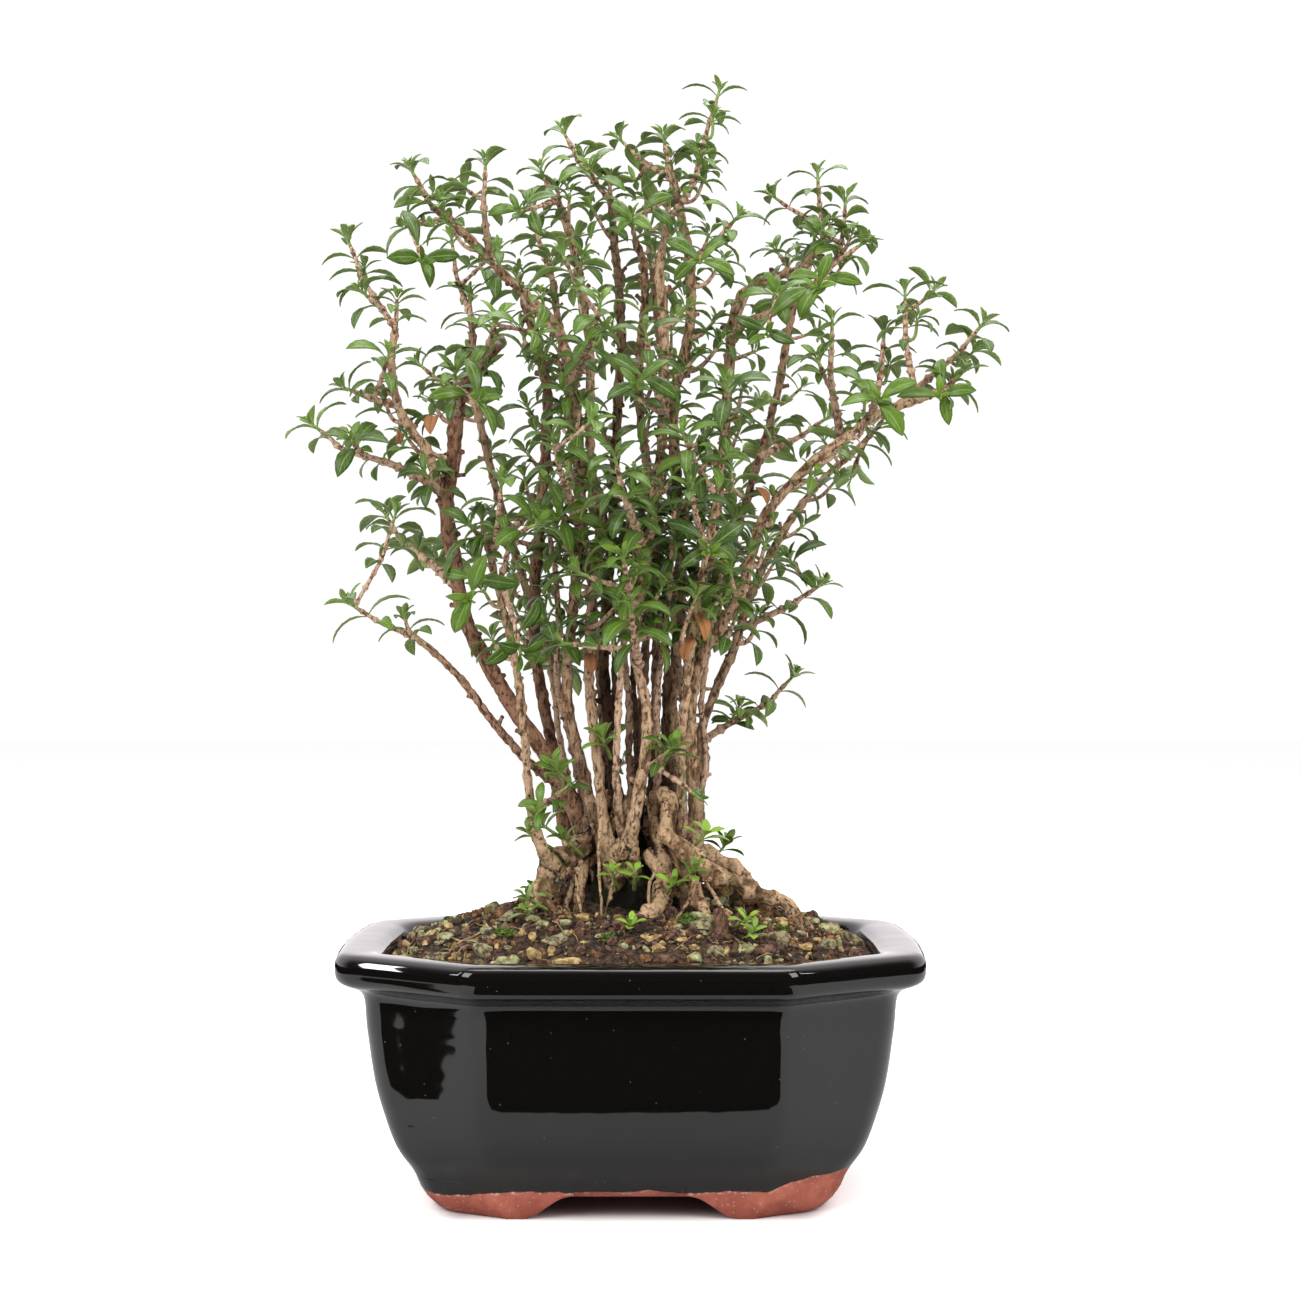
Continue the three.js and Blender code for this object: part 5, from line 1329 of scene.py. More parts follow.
MOSS_SHAPE = np.array([1, 0.85, 0.42])
MOSS_LEAVES = 26  # on each millimetre of a cushion's radius
STUB_SIDES = 22
MOSS_PATCHES = [  # x, y, radius
    [15.5, -22.5, 4.2], [19.5, -25.5, 2.6], [-34, -28, 2.6], [41, -20, 2.4], [-50, -6, 3], [30, 26, 4],
    [-22, 36, 3.5], [54, 12, 3], [-6, -38, 1.8],
]
ROOTLET_COUNT = 22


def soil_height(x, y, share):
    """Height of the solid soil at a share of the way out to the wall."""
    wave = 0.8 * np.sin(0.13 * x + 1) * np.cos(0.16 * y) + 0.5 * np.sin(0.31 * x - 0.27 * y)
    rise = SOIL_RISE * (1 - share**SOIL_FALLOFF)
    return SOIL_EDGE + rise + wave * (1 - share)


def outward_share(x, y):
    """How far out towards the wall a place on the soil is."""
    inset = POT_OUTSIDE[-1][0] + WALL_GAP
    return np.max([(x * math.cos(angle) + y * math.sin(angle)) / (distance - inset)
                   for angle, distance in rim_edges()], axis=0)


def soil_top(x, y):
    """Height of the finished soil, lumps and all."""
    x, y = np.asarray(x, float), np.asarray(y, float)
    share = np.clip(outward_share(x, y), 0, 1)
    inset = POT_OUTSIDE[-1][0] + WALL_GAP
    mound = np.clip(np.hypot(x / (RIM_HALF_WIDTH - inset), y / (RIM_HALF_DEPTH - inset)), 0, 1)
    flat = np.stack([x, y, np.zeros_like(x)], axis=-1)
    rough = sum(height * lumps(flat, size, 3) for size, height in SOIL_LUMPS)
    bank = SOIL_BANK * np.clip((share - 0.75) / 0.2, 0, 1)
    for hill_x, hill_y, reach, height in SOIL_HILLS:
        bank = bank + height * np.exp(-((x - hill_x) ** 2 + (y - hill_y) ** 2) / reach**2)
    return soil_height(x, y, mound) + bank + rough * np.clip((1 - share) * 14, 0.25, 1)


def make_soil():
    wall = [pot_outline(inset + WALL_GAP, height, **SOIL_COLUMNS) for inset, height in POT_INSIDE[::-1]]
    edge = pot_outline(POT_OUTSIDE[-1][0] + WALL_GAP, SOIL_EDGE, **SOIL_COLUMNS)
    top = []
    for row in range(SOIL_ROWS):
        x, y = edge[:, :2].T * (1 - 0.98 * row / SOIL_ROWS)
        top.append(np.column_stack([x, y, soil_top(x, y)]))
    shell = Shell()
    add_loft(shell, [*wall, *top])
    shell.piece("soil_mound", ["soil"], ["soil"])


def ball(levels):
    """A ball's points and faces."""
    shape = bmesh.new()
    bmesh.ops.create_icosphere(shape, subdivisions=levels, radius=1)
    shape.verts.index_update()
    points = np.array([vertex.co[:] for vertex in shape.verts])
    faces = np.array([[vertex.index for vertex in face.verts] for face in shape.faces])
    shape.free()
    return points, faces


def spin_matrix(draw):
    matrix, _ = np.linalg.qr(draw.normal(size=(3, 3)))
    return matrix * np.sign(np.linalg.det(matrix))


def stone(draw, points, size, flatness, chips):
    """A broken stone: a squashed ball with flat chips and a lumpy face."""
    shape = points * (1 + 0.16 * lumps(points, 0.9, draw.integers(1000))[:, None])
    for _ in range(chips):
        way = unit(draw.normal(size=3))
        over = shape @ way - draw.uniform(0.35, 0.75)
        shape = shape - np.clip(over, 0, None)[:, None] * way * 0.96
    shape = shape * np.array([1, draw.uniform(0.6, 0.95), flatness]) @ spin_matrix(draw).T
    return shape * size


def lying(shape):
    """A stone laid down, so that its flattest side is up."""
    _, _, ways = np.linalg.svd(shape - shape.mean(axis=0), full_matrices=False)
    return shape @ np.stack([ways[0], ways[1], np.cross(ways[0], ways[1])], axis=1)


def scatter_on_soil(draw, reach=0.97, clear=17):
    """A place on the soil, outside the root crown."""
    while True:
        x = draw.uniform(-RIM_HALF_WIDTH, RIM_HALF_WIDTH)
        y = draw.uniform(-RIM_HALF_DEPTH, RIM_HALF_DEPTH)
        if outward_share(x, y) < reach and math.hypot(x, y) > clear:
            return x, y


def solid_pebbles():
    """Where the solid soil has its pebbles: place and size."""
    draw = seeded_random(PEBBLE_SEED)
    edge = pot_outline(POT_OUTSIDE[-1][0], 0, SOLID_CORNER_STEPS, 1, POT_CORNER_RADIUS)
    places = []
    for _ in range(PEBBLE_TRIES):
        if len(places) == PEBBLE_COUNT:
            break
        corner = edge[math.floor(draw() * len(edge))]
        share = mix(*PEBBLE_SHARES, math.sqrt(draw()))
        x, y = (corner[k] * share + mix(-PEBBLE_SCATTER, PEBBLE_SCATTER, draw()) for k in (0, 1))
        size = mix(*PEBBLE_RADII, draw() ** 1.6)
        for _ in range(3):
            draw()
        field = (RIM_HALF_WIDTH - PEBBLE_FIELD_INSET, RIM_HALF_DEPTH - PEBBLE_FIELD_INSET)
        outward = math.hypot(x / field[0], y / field[1])
        near = any(math.hypot(a - x, b - y) < other + size + PEBBLE_SPACING for a, b, other, _ in places)
        if not (near or outward > PEBBLE_FIELD_LIMIT or math.hypot(x, y) < PEBBLE_CLEAR_OF_WOOD):
            places.append((x, y, size, soil_height(x, y, outward) + PEBBLE_SHOWING * size))
    return places


def stone_places(draw):
    """Places and sizes of the small stones, close together but not in one another."""
    places = [(x, y, size) for x, y, size, _ in solid_pebbles()]
    solid_count = len(places)
    while len(places) < solid_count + SMALL_STONE_COUNT:
        x, y = scatter_on_soil(draw, 0.965, 21)
        size = mix(*STONE_SIZES, draw.random() ** 2)
        if draw.random() > np.interp(outward_share(x, y), *STONE_CHANCE):
            continue
        if all(math.hypot(a - x, b - y) > 0.62 * (other + size) for a, b, other in places):
            places.append((x, y, size))
    return places[solid_count:]


def make_stones():
    draw = np.random.default_rng(11)
    small, middling, large = ball(1), ball(2), ball(3)
    shell = Shell()
    for i, (x, y, size, height) in enumerate(solid_pebbles()):
        shape = lying(stone(draw, large[0], size * 1.3, 0.7, 10))
        shell.add(shape + [x, y, height], [large[1]], PEBBLE_KINDS[i % len(PEBBLE_KINDS)])
    for x, y, size in stone_places(draw):
        points, faces = middling if size > FINE_STONE_SIZE else small
        shape = stone(draw, points, size * 1.3, 0.62, 9 if size > FINE_STONE_SIZE else 4)
        shape = lying(shape) if draw.random() < 0.7 else shape
        kind = draw.choice(4, p=[0.26, 0.24, 0.32, 0.18])
        shell.add(shape + [x, y, soil_top(x, y) + 0.12 * size], [faces], kind)
    shell.piece("pebbles", STONE_KINDS, sharp_angle=30)
    crumbs = Shell()
    points, faces = small
    for _ in range(CRUMB_COUNT):
        x, y = scatter_on_soil(draw, 0.985)
        size = 0.38 + 1.6 * draw.random() ** 2.4
        shape = stone(draw, points, size, 0.6, 3)
        kind = draw.choice(5, p=[0.5, 0.26, 0.08, 0.1, 0.06])
        crumbs.add(shape + [x, y, soil_top(x, y) + 0.3 * size], [faces], kind)
    crumbs.piece("soil_crumbs", ["crumb", "bark_bit", *STONE_KINDS[:3]], sharp_angle=30)


def make_fibres():
    """Thin roots, straw and bark fibres that lie on the soil."""
    draw = np.random.default_rng(23)
    shell = Shell()
    for i in range(FIBRE_COUNT):
        x, y = scatter_on_soil(draw, 0.94, 15)
        length = draw.uniform(*((5, 15) if i % 7 else (8, 17)))
        radius = draw.uniform(*((0.12, 0.24) if i % 7 else (0.3, 0.55)))
        heading = draw.uniform(0, TURN)
        bend = draw.normal() * 0.09
        spots = []
        for step in np.linspace(0, length, 9):
            spots.append((x, y, soil_top(x, y) + 0.5 * radius + 0.35 + 0.35 * math.sin(step * 0.7 + i)))
            turn = heading + bend * step
            x += math.cos(turn) * length / 8
            y += math.sin(turn) * length / 8
            if outward_share(x, y) > 0.98:
                break
        if len(spots) < 4:
            continue
        add_tube(shell, np.array(spots), radius * np.linspace(1, 0.6, len(spots)), 5, 1 if i % 3 else 0)
    shell.piece("soil_fibres", ["straw", "rootlet"])


def make_moss():
    """Low cushions of moss, each a crowd of short bent leaves."""
    draw = np.random.default_rng(37)
    shell = Shell()
    points, faces = ball(3)
    for x, y, radius in MOSS_PATCHES:
        base = soil_top(x, y)
        cushion = points * (radius * MOSS_SHAPE)
        cushion = cushion * (1 + 0.22 * lumps(cushion, 1.1, 5)[:, None])
        shell.add(cushion + [x, y, base], [faces], 0)
        for _ in range(int(MOSS_LEAVES * radius)):
            way = unit(np.array([draw.normal(), draw.normal(), abs(draw.normal()) + 0.5]))
            root = way * (radius * MOSS_SHAPE) * 0.95 + [x, y, base]
            lean = unit(way + 0.5 * draw.normal(size=3))
            rise = draw.uniform(0.7, 1.6)
            path = np.array([root, root + 0.5 * rise * way, root + 0.5 * rise * (way + lean)])
            add_tube(shell, path, [0.22, 0.2, 0.05], 4, 0)
    shell.piece("moss_cushions", ["moss"])


def make_stub():
    """A short dead piece of wood that stands in the soil."""
    path, radii = grown(STUB, 0.4)
    turns = around(STUB_SIDES)
    ring = np.stack([np.cos(turns), np.sin(turns), np.zeros(STUB_SIDES)], axis=1)
    spots = path[:, None] + ring[None] * 2
    proud = 1 + 0.12 * lumps(spots * [1, 1, 0.35], 1.1, 2) + 0.05 * lumps(spots, 0.5, 4)
    shell = Shell()
    add_tube(shell, path, radii[:, None] * proud, STUB_SIDES, 0)
    shell.piece("dead_stub", ["dead_bark"], ["bark_stub"])


def make_rootlets():
    """Fine dark roots that have grown out of the drain holes, towards the pot's middle."""
    draw = np.random.default_rng(41)
    shell = Shell()
    for i in range(ROOTLET_COUNT):
        side = -1 if i % 2 else 1
        start_x = side * (DRAIN_X - draw.uniform(1, 5.5))
        start_y = draw.uniform(-5, 3)
        end_x = draw.uniform(-9, 9)
        end_y = draw.uniform(-22, -4)
        low = draw.uniform(0.5, 3.2)
        spots = [
            (start_x, start_y, POT_FLOOR - 1), (start_x - side, start_y, 6.5),
            (mix(start_x, end_x, 0.3), mix(start_y, end_y, 0.3), 4.6),
            (mix(start_x, end_x, 0.65), mix(start_y, end_y, 0.65) + draw.normal(), mix(4.4, low, 0.6)),
            (end_x, end_y, low),
            (end_x - side * draw.uniform(1, 5), end_y + draw.uniform(-3, 3), draw.uniform(0.4, 3.8)),
        ]
        path, _, _ = smooth_path(spots, 1.2)
        add_tube(shell, path, np.linspace(draw.uniform(0.24, 0.4), 0.12, len(path)), 5, 0)
    shell.piece("drain_rootlets", ["rootlet"])


# ---------------- trunk, roots and stems

STEM_STEP = 1.0
STEM_SIDES = 12
FINE_STEM_STEP = 1.1
FINE_STEM_SIDES = 9
STEM_SLIMNESS = ([98, 118, 195, 240], [0.86, 0.7, 0.8, 0.95])  # height, share of the solid's radius
SCAR_GAPS = ([0.9, 2.2], [2.5, 7.5])  # stem radius, distance between its leaf scars
SCAR_SWELL = ([0.9, 2.2], [0.48, 0.10])  # stem radius, how far its scars stand out
SPUR_GAPS = ([110, 170, 260], [15, 9, 6])  # height, distance between the spurs
CROWN_VOXEL = 0.72
CROWN_TOP = 110
CROWN_BODY_INSET = 8.2
CROWN_LEVELS = 24
CROWN_RING = 36
CROWN_RELIEF = [(0.6, 3.4), (0.5, 1.5), (0.24, 0.8)]  # height and size of its bumps
HOLLOW_TURN = -2.05  # where the crown's hollow is, with its reach to each side
HOLLOW_REACH = 0.7
ROOT_SHARES = {  # share of the solid root's radius that shows high up, and low down
    "front_left": (0.4, 0.4), "left_inner": (0.6, 0.6), "right_knee": (0.74, 1.1),
    "right_back": (0.9, 1.05), "left_arch": (1.2, 1.1),
}
RIB_COUNT = 13
RIB_HEIGHTS = [109, 101, 93, 85, 77, 68]
RIB_REACHES = [7.5, 11.5, 14.8, 16.8, 17.8, 19.5]
HANGING_ROOTS = [
    [[-8, -12, 107], [-8.6, -17, 101], [-8.8, -20.5, 91], [-7.8, -21.5, 78]],
    [[15, -13, 97], [17.5, -20, 89], [15, -23, 81], [12, -24, 77]],
    [[8, -15, 92], [5, -20, 86], [5.5, -22, 77]],
    [[-14, -9, 92], [-15, -14, 87], [-13.5, -18, 77]],
    [[20, -14, 88], [24, -22, 82], [28, -25, 77]],
]
RED_STEMS = {"cut_stem": 0.9, "straight_left_stem": 0.85, "low_left_limb": 0.6, "pale_left_stem": 0.1}
# How much painted shade each stem gets, for the shadow it stands in among the others.
PAINTED_SHADE_STEMS = {
    "middle_stem": 0.9, "inner_stem": 0.5, "straight_left_stem": 0.35, "low_right_stem": 0.4,
    "high_right_stem": 0.45, "back_left_stem": 0.85, "back_middle_stem": 0.9, "back_right_stem": 0.8,
    "back_far_left_stem": 0.75,
}
SHADE_FADE = ([100, 200], [1.0, 0.55])  # height, how much of that painted shade is left
BUNCH_HEART = [2, 7, 13]  # x, y and reach of the inside of the bunch of stems, where painted shade darkens them low down


def crown_shell(shell):
    """The root crown's heart, which lies behind its roots, with a hollow at the front left."""
    levels = np.array(CROWN, float)
    heights = np.linspace(levels[0, 0], levels[-1, 0], CROWN_LEVELS)
    turns = around(CROWN_RING)
    away = np.array([math.remainder(turn - HOLLOW_TURN, TURN) for turn in turns])
    rings = []
    for height in heights:
        level = np.interp(height, levels[:, 0], np.arange(len(levels)))
        x, y, width, depth = (np.interp(height, levels[:, 0], column) for column in levels[:, 1:].T)
        lobe = 1 + CROWN_LOBE_DEPTH * np.cos(CROWN_LOBES * turns + CROWN_LOBE_TWIST * level)
        lobe -= 0.6 * np.exp(-((away / HOLLOW_REACH) ** 2) - ((height - 82) / 9) ** 2)
        across = (width - CROWN_BODY_INSET) * lobe * np.cos(turns)
        deep = (depth - CROWN_BODY_INSET) * lobe * np.sin(turns)
        rings.append(np.stack([x + across, y + deep, np.full(CROWN_RING, height)], axis=1))
    add_loft(shell, rings)


def crown_ribs(draw):
    """Old roots that run down the crown side by side, each as points with radii."""
    for i in range(RIB_COUNT):
        start = TURN * (i + draw.uniform(-0.3, 0.3)) / RIB_COUNT
        hollow = abs(math.remainder(start - HOLLOW_TURN, TURN)) < 0.72
        drift = draw.normal() * 0.07
        thick = draw.uniform(1.0, 2.3)
        rib = []
        for k, (height, reach) in enumerate(zip(RIB_HEIGHTS, RIB_REACHES)):
            turn = start + drift * k + 0.08 * draw.normal()
            reach += 1.1 * draw.normal()
            size = thick * draw.uniform(0.8, 1.25)
            rib.append([1 + reach * math.cos(turn), 1 + 0.93 * reach * math.sin(turn), height, size])
        yield rib[:3] if hollow else rib


def scar_swell(run, radii, turns, seed):
    """How far a stem stands out at its old leaf scars: pairs, each turned a quarter from the last."""
    gaps = np.interp(radii, *SCAR_GAPS)
    count = 0.37 * seed + np.concatenate([[0], np.cumsum(np.diff(run) / gaps[1:])])
    nearest = np.round(count)
    ring = np.exp(-(((count - nearest) * gaps / 0.8) ** 2)) * np.interp(radii, *SCAR_SWELL)
    pair = 0.5 + 0.5 * np.cos(2 * (turns[None] - 0.5 * math.pi * nearest[:, None] - seed))
    return ring[:, None] * pair


def gnarled(run, radii, seed, sides):
    """How far each point round a stem stands out, by flutes, knobs and old leaf scars."""
    turns = around(sides)
    round_it = 2.2 * np.stack([np.cos(turns), np.sin(turns)], axis=1)
    spots = np.concatenate([
        np.broadcast_to(round_it[None], (len(run), sides, 2)),
        np.broadcast_to((run / 1.6)[:, None, None], (len(run), sides, 1)),
    ], axis=2)
    rough = 0.11 * lumps(spots, 1.5, seed) + 0.10 * lumps(spots, 0.62, seed + 9)
    thin = np.interp(radii, [1, 2.2], [2.2, 1.0])[:, None]
    return rough * thin + scar_swell(run, radii, turns, seed)


def add_spurs(shell, path, run, radii, draw, **values):
    """Short broken side twigs along a stem."""
    along, sides, others = tube_frames(path)
    at = draw.uniform(2, 9)
    while at < run[-1] - 4:
        ring = int(np.searchsorted(run, at))
        at += np.interp(path[ring][2], *SPUR_GAPS) * draw.uniform(0.5, 1.5)
        turn = draw.uniform(0, TURN)
        facing = spoke(sides[ring], others[ring], turn)
        way = unit(facing + draw.uniform(0.2, 0.9) * along[ring])
        reach = radii[ring] + draw.uniform(0.5, 2.6)
        bend = 0.25 * draw.normal(size=3)
        spur = np.array([path[ring] + way * reach * t + bend * t * t for t in (0.2, 0.55, 0.8, 1.0)])
        size = min(0.8, 0.5 * radii[ring] + 0.1) * draw.uniform(0.75, 1.2)
        add_tube(shell, spur, size * np.array([1.25, 1.0, 0.85, 1.0]), 7, 0, relief=[0.2, -0.3, 0.3, -0.8],
                 **{name: value[ring] * np.ones(4) for name, value in values.items()})


def painted_shade_of(path, painted_shade):
    """How much painted shade a stem gets: its own listed amount, and more where it stands inside the bunch
    low down.
    """
    x, y, reach = BUNCH_HEART
    inside = np.clip(1.5 - np.hypot(path[:, 0] - x, path[:, 1] - y) / reach, 0, 0.8)
    low_down = np.interp(path[:, 2], [110, 165], [1, 0])
    return painted_shade * np.interp(path[:, 2], *SHADE_FADE) + inside * low_down


def add_stem(shell, stem, number, redness, painted_shade, draw, step=STEM_STEP, sides=STEM_SIDES):
    """One stem with its bark's relief and its spurs."""
    path, radii, run = stem_path(stem, step)
    radii *= np.interp(path[:, 2], *STEM_SLIMNESS)
    red = np.clip(redness + 0.25 * lumps(path, 22, number), 0, 1)
    bent = path + 0.2 * drift(path, 4.4, number + 1)
    proud = gnarled(run, radii, number, sides)
    # Painted shade for a stem in shadow among the others, with some random variation.
    dark = np.clip(painted_shade_of(path, painted_shade) + 0.3 * lumps(path, 18, number + 5), 0, 1)
    add_tube(shell, bent, radii[:, None] * (1 + proud), sides, 0, redness=red, shade=dark,
             relief=(proud - 0.04) * 4)
    bare = path[:, 2] > CROWN_TOP
    add_spurs(shell, bent[bare], run[bare] - run[bare][0], radii[bare], draw, redness=red[bare],
              shade=dark[bare])


def crown_tubes(draw):
    """Everything that the crown is grown from: path and radii of each root, rib and stem base."""
    for name, route in ROOTS.items():
        path, radii = grown(route, 1.0)
        radii *= np.interp(path[:, 2], [90, 98], ROOT_SHARES.get(name, (1, 1))[::-1])
        yield path + 0.22 * radii[:, None] * drift(path, 5, 31), radii * (1 + 0.28 * lumps(path, 3.2, 12))
    for rib in crown_ribs(draw):
        path, radii = grown(rib, 1.0)
        yield path, radii * (1 + 0.22 * lumps(path, 3.4, 15))
    for name, stem in STEMS.items():
        if not name.endswith("limb"):
            path, radii, _ = stem_path(stem, 1.0)
            low = path[:, 2] < CROWN_TOP
            yield path[low], radii[low] * np.interp(path[low, 2], [86, 98, CROWN_TOP], [1.15, 0.9, 0.64])


def pocket_depths(points, tubes):
    """How far points lie off the roots, from 0 on a root to 1 in the gaps between them."""
    tree = tree_of(np.concatenate([path for path, _ in tubes]))
    sizes = np.concatenate([radii for _, radii in tubes])
    depths = np.empty(len(points))
    for k, point in enumerate(points):
        _, i, gap = tree.find(point)
        depths[k] = gap - sizes[i]
    share = np.clip((depths + 0.1) / 0.7, 0, 1)
    return share * share * (3 - 2 * share)


def make_crown():
    """The root crown: roots, ribs and stem bases grown into one, with pockets between them painted with
    dark soil colour and shade.
    """
    draw = np.random.default_rng(17)
    rough = Shell()
    crown_shell(rough)
    tubes = list(crown_tubes(draw))
    for path, radii in tubes:
        add_tube(rough, path, radii, 12, 0)
    wood = rough.thing("rough_wood", ["root_bark"])
    remesh = wood.modifiers.new("join", "REMESH")
    remesh.mode = "VOXEL"
    remesh.voxel_size = CROWN_VOXEL * MM
    bake_modifiers(wood)
    points = given_points(wood.data)
    normals = mesh_array(wood.data.vertices, "normal", 3)
    quads = mesh_array(wood.data.loops, "vertex_index", 1).astype(int).reshape(-1, 4)
    bpy.data.objects.remove(wood)
    grain = points * [1, 1, 0.42]
    spots = (grain, grain, points)
    push = sum(height * lumps(spots[k], size, k + 1) for k, (height, size) in enumerate(CROWN_RELIEF))
    crown = Shell()
    crown.add(points + push[:, None] * normals, [quads], 0, relief=push / 0.65,
              pocket_soil_and_shade=pocket_depths(points, tubes))
    for route in HANGING_ROOTS:
        path, _, _ = smooth_path(route, 0.9)
        size = np.linspace(0.62, 0.36, len(path)) * (1 + 0.2 * lumps(path, 1.6, 4))
        add_tube(crown, path + 0.3 * drift(path, 3, 5), size, 7, 0)
    crown.piece("root_crown", ["root_bark"])


def make_stems():
    draw = np.random.default_rng(7)
    stems = Shell()
    for number, (name, stem) in enumerate(STEMS.items()):
        redness = RED_STEMS.get(name, 0.35 * draw.random())
        add_stem(stems, stem, number, redness, PAINTED_SHADE_STEMS.get(name, 0.0), draw)
    add_cut_end(stems)
    stems.piece("stems", ["bark", "root_bark", "cut_wood"], ["trunk_and_roots"])


def add_cut_end(shell):
    """The grey sawn end of the thick left stem."""
    before, end = np.array(STEMS["cut_stem"]["route"][-2:], float)
    way = unit(end - before)
    path = np.array([end + reach * way for reach in (-1.6, -0.6, 0.3, 0.75)])
    add_tube(shell, path, [2.35, 2.55, 2.5, 2.2], 16, 2, redness=0.0)


# ---------------- twigs and leaves

LEAF_SHARES = np.array([0.0, 0.1, 0.22, 0.38, 0.56, 0.73, 0.87, 0.97])
LEAF_OUTLINE = (
    [0, 0.07, 0.17, 0.3, 0.45, 0.6, 0.75, 0.88, 0.97, 1],
    [0.14, 0.2, 0.42, 0.74, 0.95, 1, 0.82, 0.48, 0.14, 0],
)
LEAF_ACROSS = np.array([1, 0.55, 0, -0.55, -1])
LEAF_THICKNESS = 0.2
LEAF_VEE = 0.22
LEAF_PUFF = 0.11
TWIG_FINE_STEP = 0.75
TWIG_ROUND_SIDES = 8
SCAR_SPACING = 2.3
FOLIAGE = ["twig_bark", "shoot", "leaf_top", "leaf_under", "dead_leaf"]
BARK_FINISH, SHOOT_FINISH, TOP_FINISH, UNDER_FINISH, DEAD_FINISH = range(5)
PAIR_SPACING = 4.3
LOWEST_PAIR_SHARE = 0.62  # how far down a twig its leaf pairs go, as a share and at most
LOWEST_PAIR = 34
PAIR_CHANCE = ([8, 20, 34], [0.95, 0.7, 0.25])  # distance below the tip, how likely each leaf is
MINI_SHOOT_CHANCE = 0.62
LEAF_SCALES = ([128, 150, 205, 245, 290], [0.6, 1.1, 1.04, 0.96, 0.86])  # height, share of the full length
STEM_END_PAIRS = [6.2, 3.4, 1.2]  # distances below the tip
FINE_STEM_PAIRS = [1.5, 5, 9, 14, 20, 27, 36]
TIP_LEAVES = [(6.6, 62, -0.2), (4.4, 74, 0.5), (2.8, 82, 1.0)]  # length, rise, how far up each pair sits


def leaf_half_width(share):
    """Half a leaf's width: narrow at its root, widest past the middle, ending in a point."""
    return np.interp(share, *LEAF_OUTLINE)


def add_leaf(shell, leaf, place, width, tone, draw, finishes=(TOP_FINISH, UNDER_FINISH)):
    """A thin closed leaf, folded a little along its midrib, with a paler underside."""
    middle, normal = midline(leaf, place, LEAF_SHARES)
    half = leaf_half_width(LEAF_SHARES) * width / 2
    across = np.broadcast_to(place["across"], middle.shape)
    roll = draw.normal() * 0.12 + draw.normal() * 0.22 * LEAF_SHARES
    cos, sin = np.cos(roll)[:, None], np.sin(roll)[:, None]
    across, normal = across * cos + normal * sin, normal * cos - across * sin
    u = LEAF_ACROSS
    lift = LEAF_VEE * np.abs(u) + 4 * LEAF_PUFF * np.abs(u) * (1 - np.abs(u))
    wave = 1 + 0.10 * np.sin(LEAF_SHARES * 9 + draw.uniform(0, 6))
    top = middle[:, None] + across[:, None] * (u[None] * half[:, None])[..., None]
    top = top + normal[:, None] * (lift[None] * (half * wave)[:, None])[..., None]
    thick = LEAF_THICKNESS * np.sqrt(1 - u**2)[1:-1][::-1]
    under = top[:, -2:0:-1] - normal[:, None] * thick[None, :, None]
    rings = np.concatenate([top, under], axis=1)
    columns = rings.shape[1]
    rows = len(LEAF_SHARES)
    tip, _ = midline(leaf, place, 1.0)
    points = np.vstack([rings.reshape(-1, 3), place["root"], tip])
    grid = grid_faces(rows, columns).reshape(rows - 1, columns, 4)
    tops = len(u) - 1
    count = rows * columns
    ends = [fan_faces(0, columns, count, True), fan_faces(count - columns, columns, count + 1)]
    blocks = [grid[:, :tops].reshape(-1, 4), grid[:, tops:].reshape(-1, 4), *ends]
    side = np.concatenate([u, u[-2:0:-1]])
    marks = np.empty((rows, columns, 3))
    marks[..., 0] = side[None]
    marks[..., 1] = LEAF_SHARES[:, None]
    marks[..., 2] = tone
    marks = np.vstack([marks.reshape(-1, 3), [[0, 0, tone], [0, 1, tone]]])
    shell.add(points, blocks, [finishes[0], finishes[1], finishes[1], finishes[0]], leaf_place=marks)


Spot = namedtuple("Spot", "point along side other radius")


class Twig:
    """A twig's path, with the directions along and across it where leaves are set."""

    def __init__(self, path, run):
        self.path, self.run = path, run
        self.ways = tube_frames(path)

    def spot(self, below, radius):
        """The place at a distance below the tip. Radii that are many go with the path's rings."""
        at = max(0.0, self.run[-1] - below)
        point = point_at(self.path, self.run, at)
        ring = int(np.clip(np.searchsorted(self.run, at), 1, len(self.path) - 1))
        radius = radius if np.isscalar(radius) else radius[ring]
        return Spot(point, *(way[ring] for way in self.ways), radius)


def point_at(path, run, at):
    return np.array([np.interp(at, run, path[:, k]) for k in range(3)])


def ahead_of(spot, distance):
    return spot._replace(point=spot.point + spot.along * distance)


def add_pair(shell, spot, turn, length, rise, tone, draw, spread=10, keep=1.0, bend=84, slim=(2.6, 3.3)):
    """Two opposite leaves at one place on a twig."""
    for half_turn in (0, math.pi):
        if draw.random() > keep:
            continue
        facing = spoke(spot.side, spot.other, turn + half_turn + math.radians(draw.normal() * 5))
        place = leaf_place(spot.point, spot.along, facing, spot.radius * 0.8)
        leaf = {
            "rise": math.radians(rise + draw.uniform(-spread, spread)),
            "bend": math.radians(bend + draw.uniform(-14, 14)),
            "length": length * draw.uniform(0.88, 1.12),
        }
        width = leaf["length"] / draw.uniform(*slim)
        add_leaf(shell, leaf, place, width, tone + 0.12 * draw.normal(), draw)


